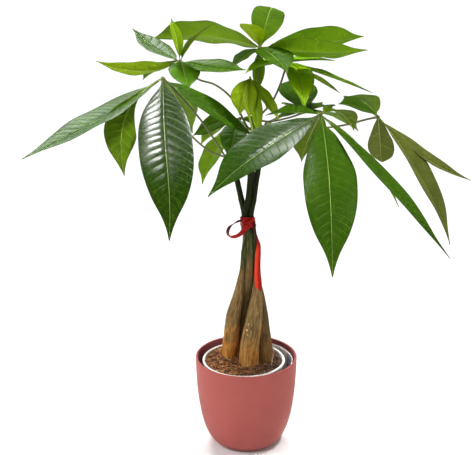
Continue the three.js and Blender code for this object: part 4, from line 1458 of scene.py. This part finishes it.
class LeafBuilder(Builder):
    """A builder that also keeps the colour of each blade's two sides."""

    def __init__(self):
        super().__init__()
        self.colours = {"tint": [], "under": []}

    def tint(self, look, dice, count):
        shade = dice.uniform(*TINT_SHADE)
        warm = dice.uniform(-TINT_WARMTH, TINT_WARMTH)
        for key, code in zip(("tint", "under"), LOOKS[look][:2]):
            red, green, blue = rgb(code)
            colour = (red * shade * (1 + warm), green * shade, blue * shade * (1 - warm), 1)
            self.colours[key].append(np.tile(colour, (count, 1)))

    def plain(self):
        """Fills in the colour rows of points that carry none, such as a petiole's."""
        missing = self.count - sum(len(rows) for rows in self.colours["tint"])
        for key in self.colours:
            self.colours[key].append(np.tile((*rgb(STEM_TINT), 1), (missing, 1)))

    def make(self, name, materials):
        piece = super().make(name, materials)
        for key, rows in self.colours.items():
            layer = piece.data.color_attributes.new(key, "FLOAT_COLOR", "POINT")
            layer.data.foreach_set("color", np.concatenate(rows).astype(np.float32).ravel())
        return piece


def make_leaf(name, leaf, paints):
    """A whole leaf: the petiole from its seat on the trunk, a swollen hub and its leaflets."""
    dice = random.Random(f"leaf {name}")
    shape = TRUNKS[leaf["from"]]
    middle, grain = trunk_at(shape, leaf["height"])
    turn = math.radians(leaf["turn"])
    out = np.array([math.cos(turn), math.sin(turn), 0])
    out = unit(out - grain * out.dot(grain))
    flats = trunk_radius(shape, leaf["height"]) * math.cos(math.pi / TRUNK_SIDES)
    foot = middle + out * (flats + PETIOLE_SEAT)
    hub = np.array(leaf["hub"], float)
    points = [foot - out * 1.2, foot + out * 2, foot + out * 6 + UP * 5, *leaf["via"], hub]
    dense = smooth_path(points)
    length = path_length(dense)
    steps = max(24, int(length / PETIOLE_STEP))
    places, tangents = spaced(dense, steps)
    near = np.linspace(0, length, steps)
    young = leaf.get("young", 0)
    swell = FOOT_SWELL * np.exp(-(near / 5)**2)
    swell = swell + HUB_SWELL * (1 - young) * np.exp(-((length - near) / 6)**2)
    builder = LeafBuilder()
    tone = (young, 0, 0)
    add_tube(builder, places, tangents, PETIOLE_RADIUS + swell, PETIOLE_SIDES, STEM, second=tone)
    add_ball(builder, hub, HUB_RADII * (1 - 0.4 * young), STEM, second=tone)
    builder.plain()
    for item in leaf["leaflets"]:
        add_leaflet(builder, hub, leaf, item, dice)
    piece = builder.make(f"leaf_{name}_blades", paints)
    return hand_in(piece, SLOTS.get(name, "leaf"), f"leaf_{name}")


# Floor and lights

FLOOR_SIZE = 40
FLOOR_TONE = (0.95, 0.95, 0.95)
WORLD_LIGHT = 0.42
SUN_WAY = (-0.25, 1.0, 1.25)
SUN_LIGHT = 2.85
SUN_ANGLE = 0.48
LAMPS = {
    "top": {
        "place": (0.5, -0.3, 2.05), "aim": (-0.09, -0.14, 0.46), "size": 0.55, "watts": 1.6, "spread": 20,
    },
    "key": {"place": (-1.3, -1.0, 1.7), "aim": (0, 0, 0.3), "size": 0.9, "watts": 23, "spread": 180},
}


def make_floor():
    bpy.ops.mesh.primitive_plane_add(size=FLOOR_SIZE, location=(0, 0, 0))
    floor = bpy.context.object
    floor.name = "floor"
    p = Paint("floor")
    p.set(Base_Color=FLOOR_TONE, Roughness=0.9, Specular_IOR_Level=0.05)
    floor.data.materials.append(p.material)


def place_light(name, data, turn):
    light = bpy.data.objects.new(name, data)
    light.rotation_euler = turn.to_euler()
    bpy.context.collection.objects.link(light)
    return light


def make_lamp(name, place, aim, size, watts, spread):
    """A square soft lamp that looks at a place. A small spread, in degrees, keeps its light narrow."""
    data = bpy.data.lights.new(name, "AREA")
    data.shape = "RECTANGLE"
    data.size = size
    data.size_y = size
    data.energy = watts
    data.spread = math.radians(spread)
    place_light(name, data, (Vector(aim) - Vector(place)).to_track_quat("-Z", "Y")).location = place


def make_sun():
    data = bpy.data.lights.new("sun", "SUN")
    data.energy = SUN_LIGHT
    data.angle = SUN_ANGLE
    place_light("sun", data, Vector(SUN_WAY).to_track_quat("Z", "Y"))


def make_lights():
    """Even light from all round, a soft sun from behind, and a wide and a narrow lamp at the front."""
    world = bpy.data.worlds.new("studio")
    world.use_nodes = True
    sky = world.node_tree.nodes["Background"].inputs
    sky["Color"].default_value = (1, 1, 1, 1)
    sky["Strength"].default_value = WORLD_LIGHT
    bpy.context.scene.world = world
    make_sun()
    for name, lamp in LAMPS.items():
        make_lamp(name, **lamp)
    bpy.context.scene.view_settings.view_transform = "Standard"


make_camera()
make_ribbon()
make_cover_pot()
make_nursery_pot()
make_plant_tag()
make_soil()
make_litter()
bark_paints = [bark_paint(), petiole_paint(), scar_paint()]
for trunk_name, trunk_shape in TRUNKS.items():
    make_trunk(trunk_name, trunk_shape, bark_paints)
blade_paints = [blade_top_paint(), blade_under_paint(), petiole_paint()]
for leaf_name, leaf_shape in LEAVES.items():
    make_leaf(leaf_name, leaf_shape, blade_paints)
make_floor()
make_lights()
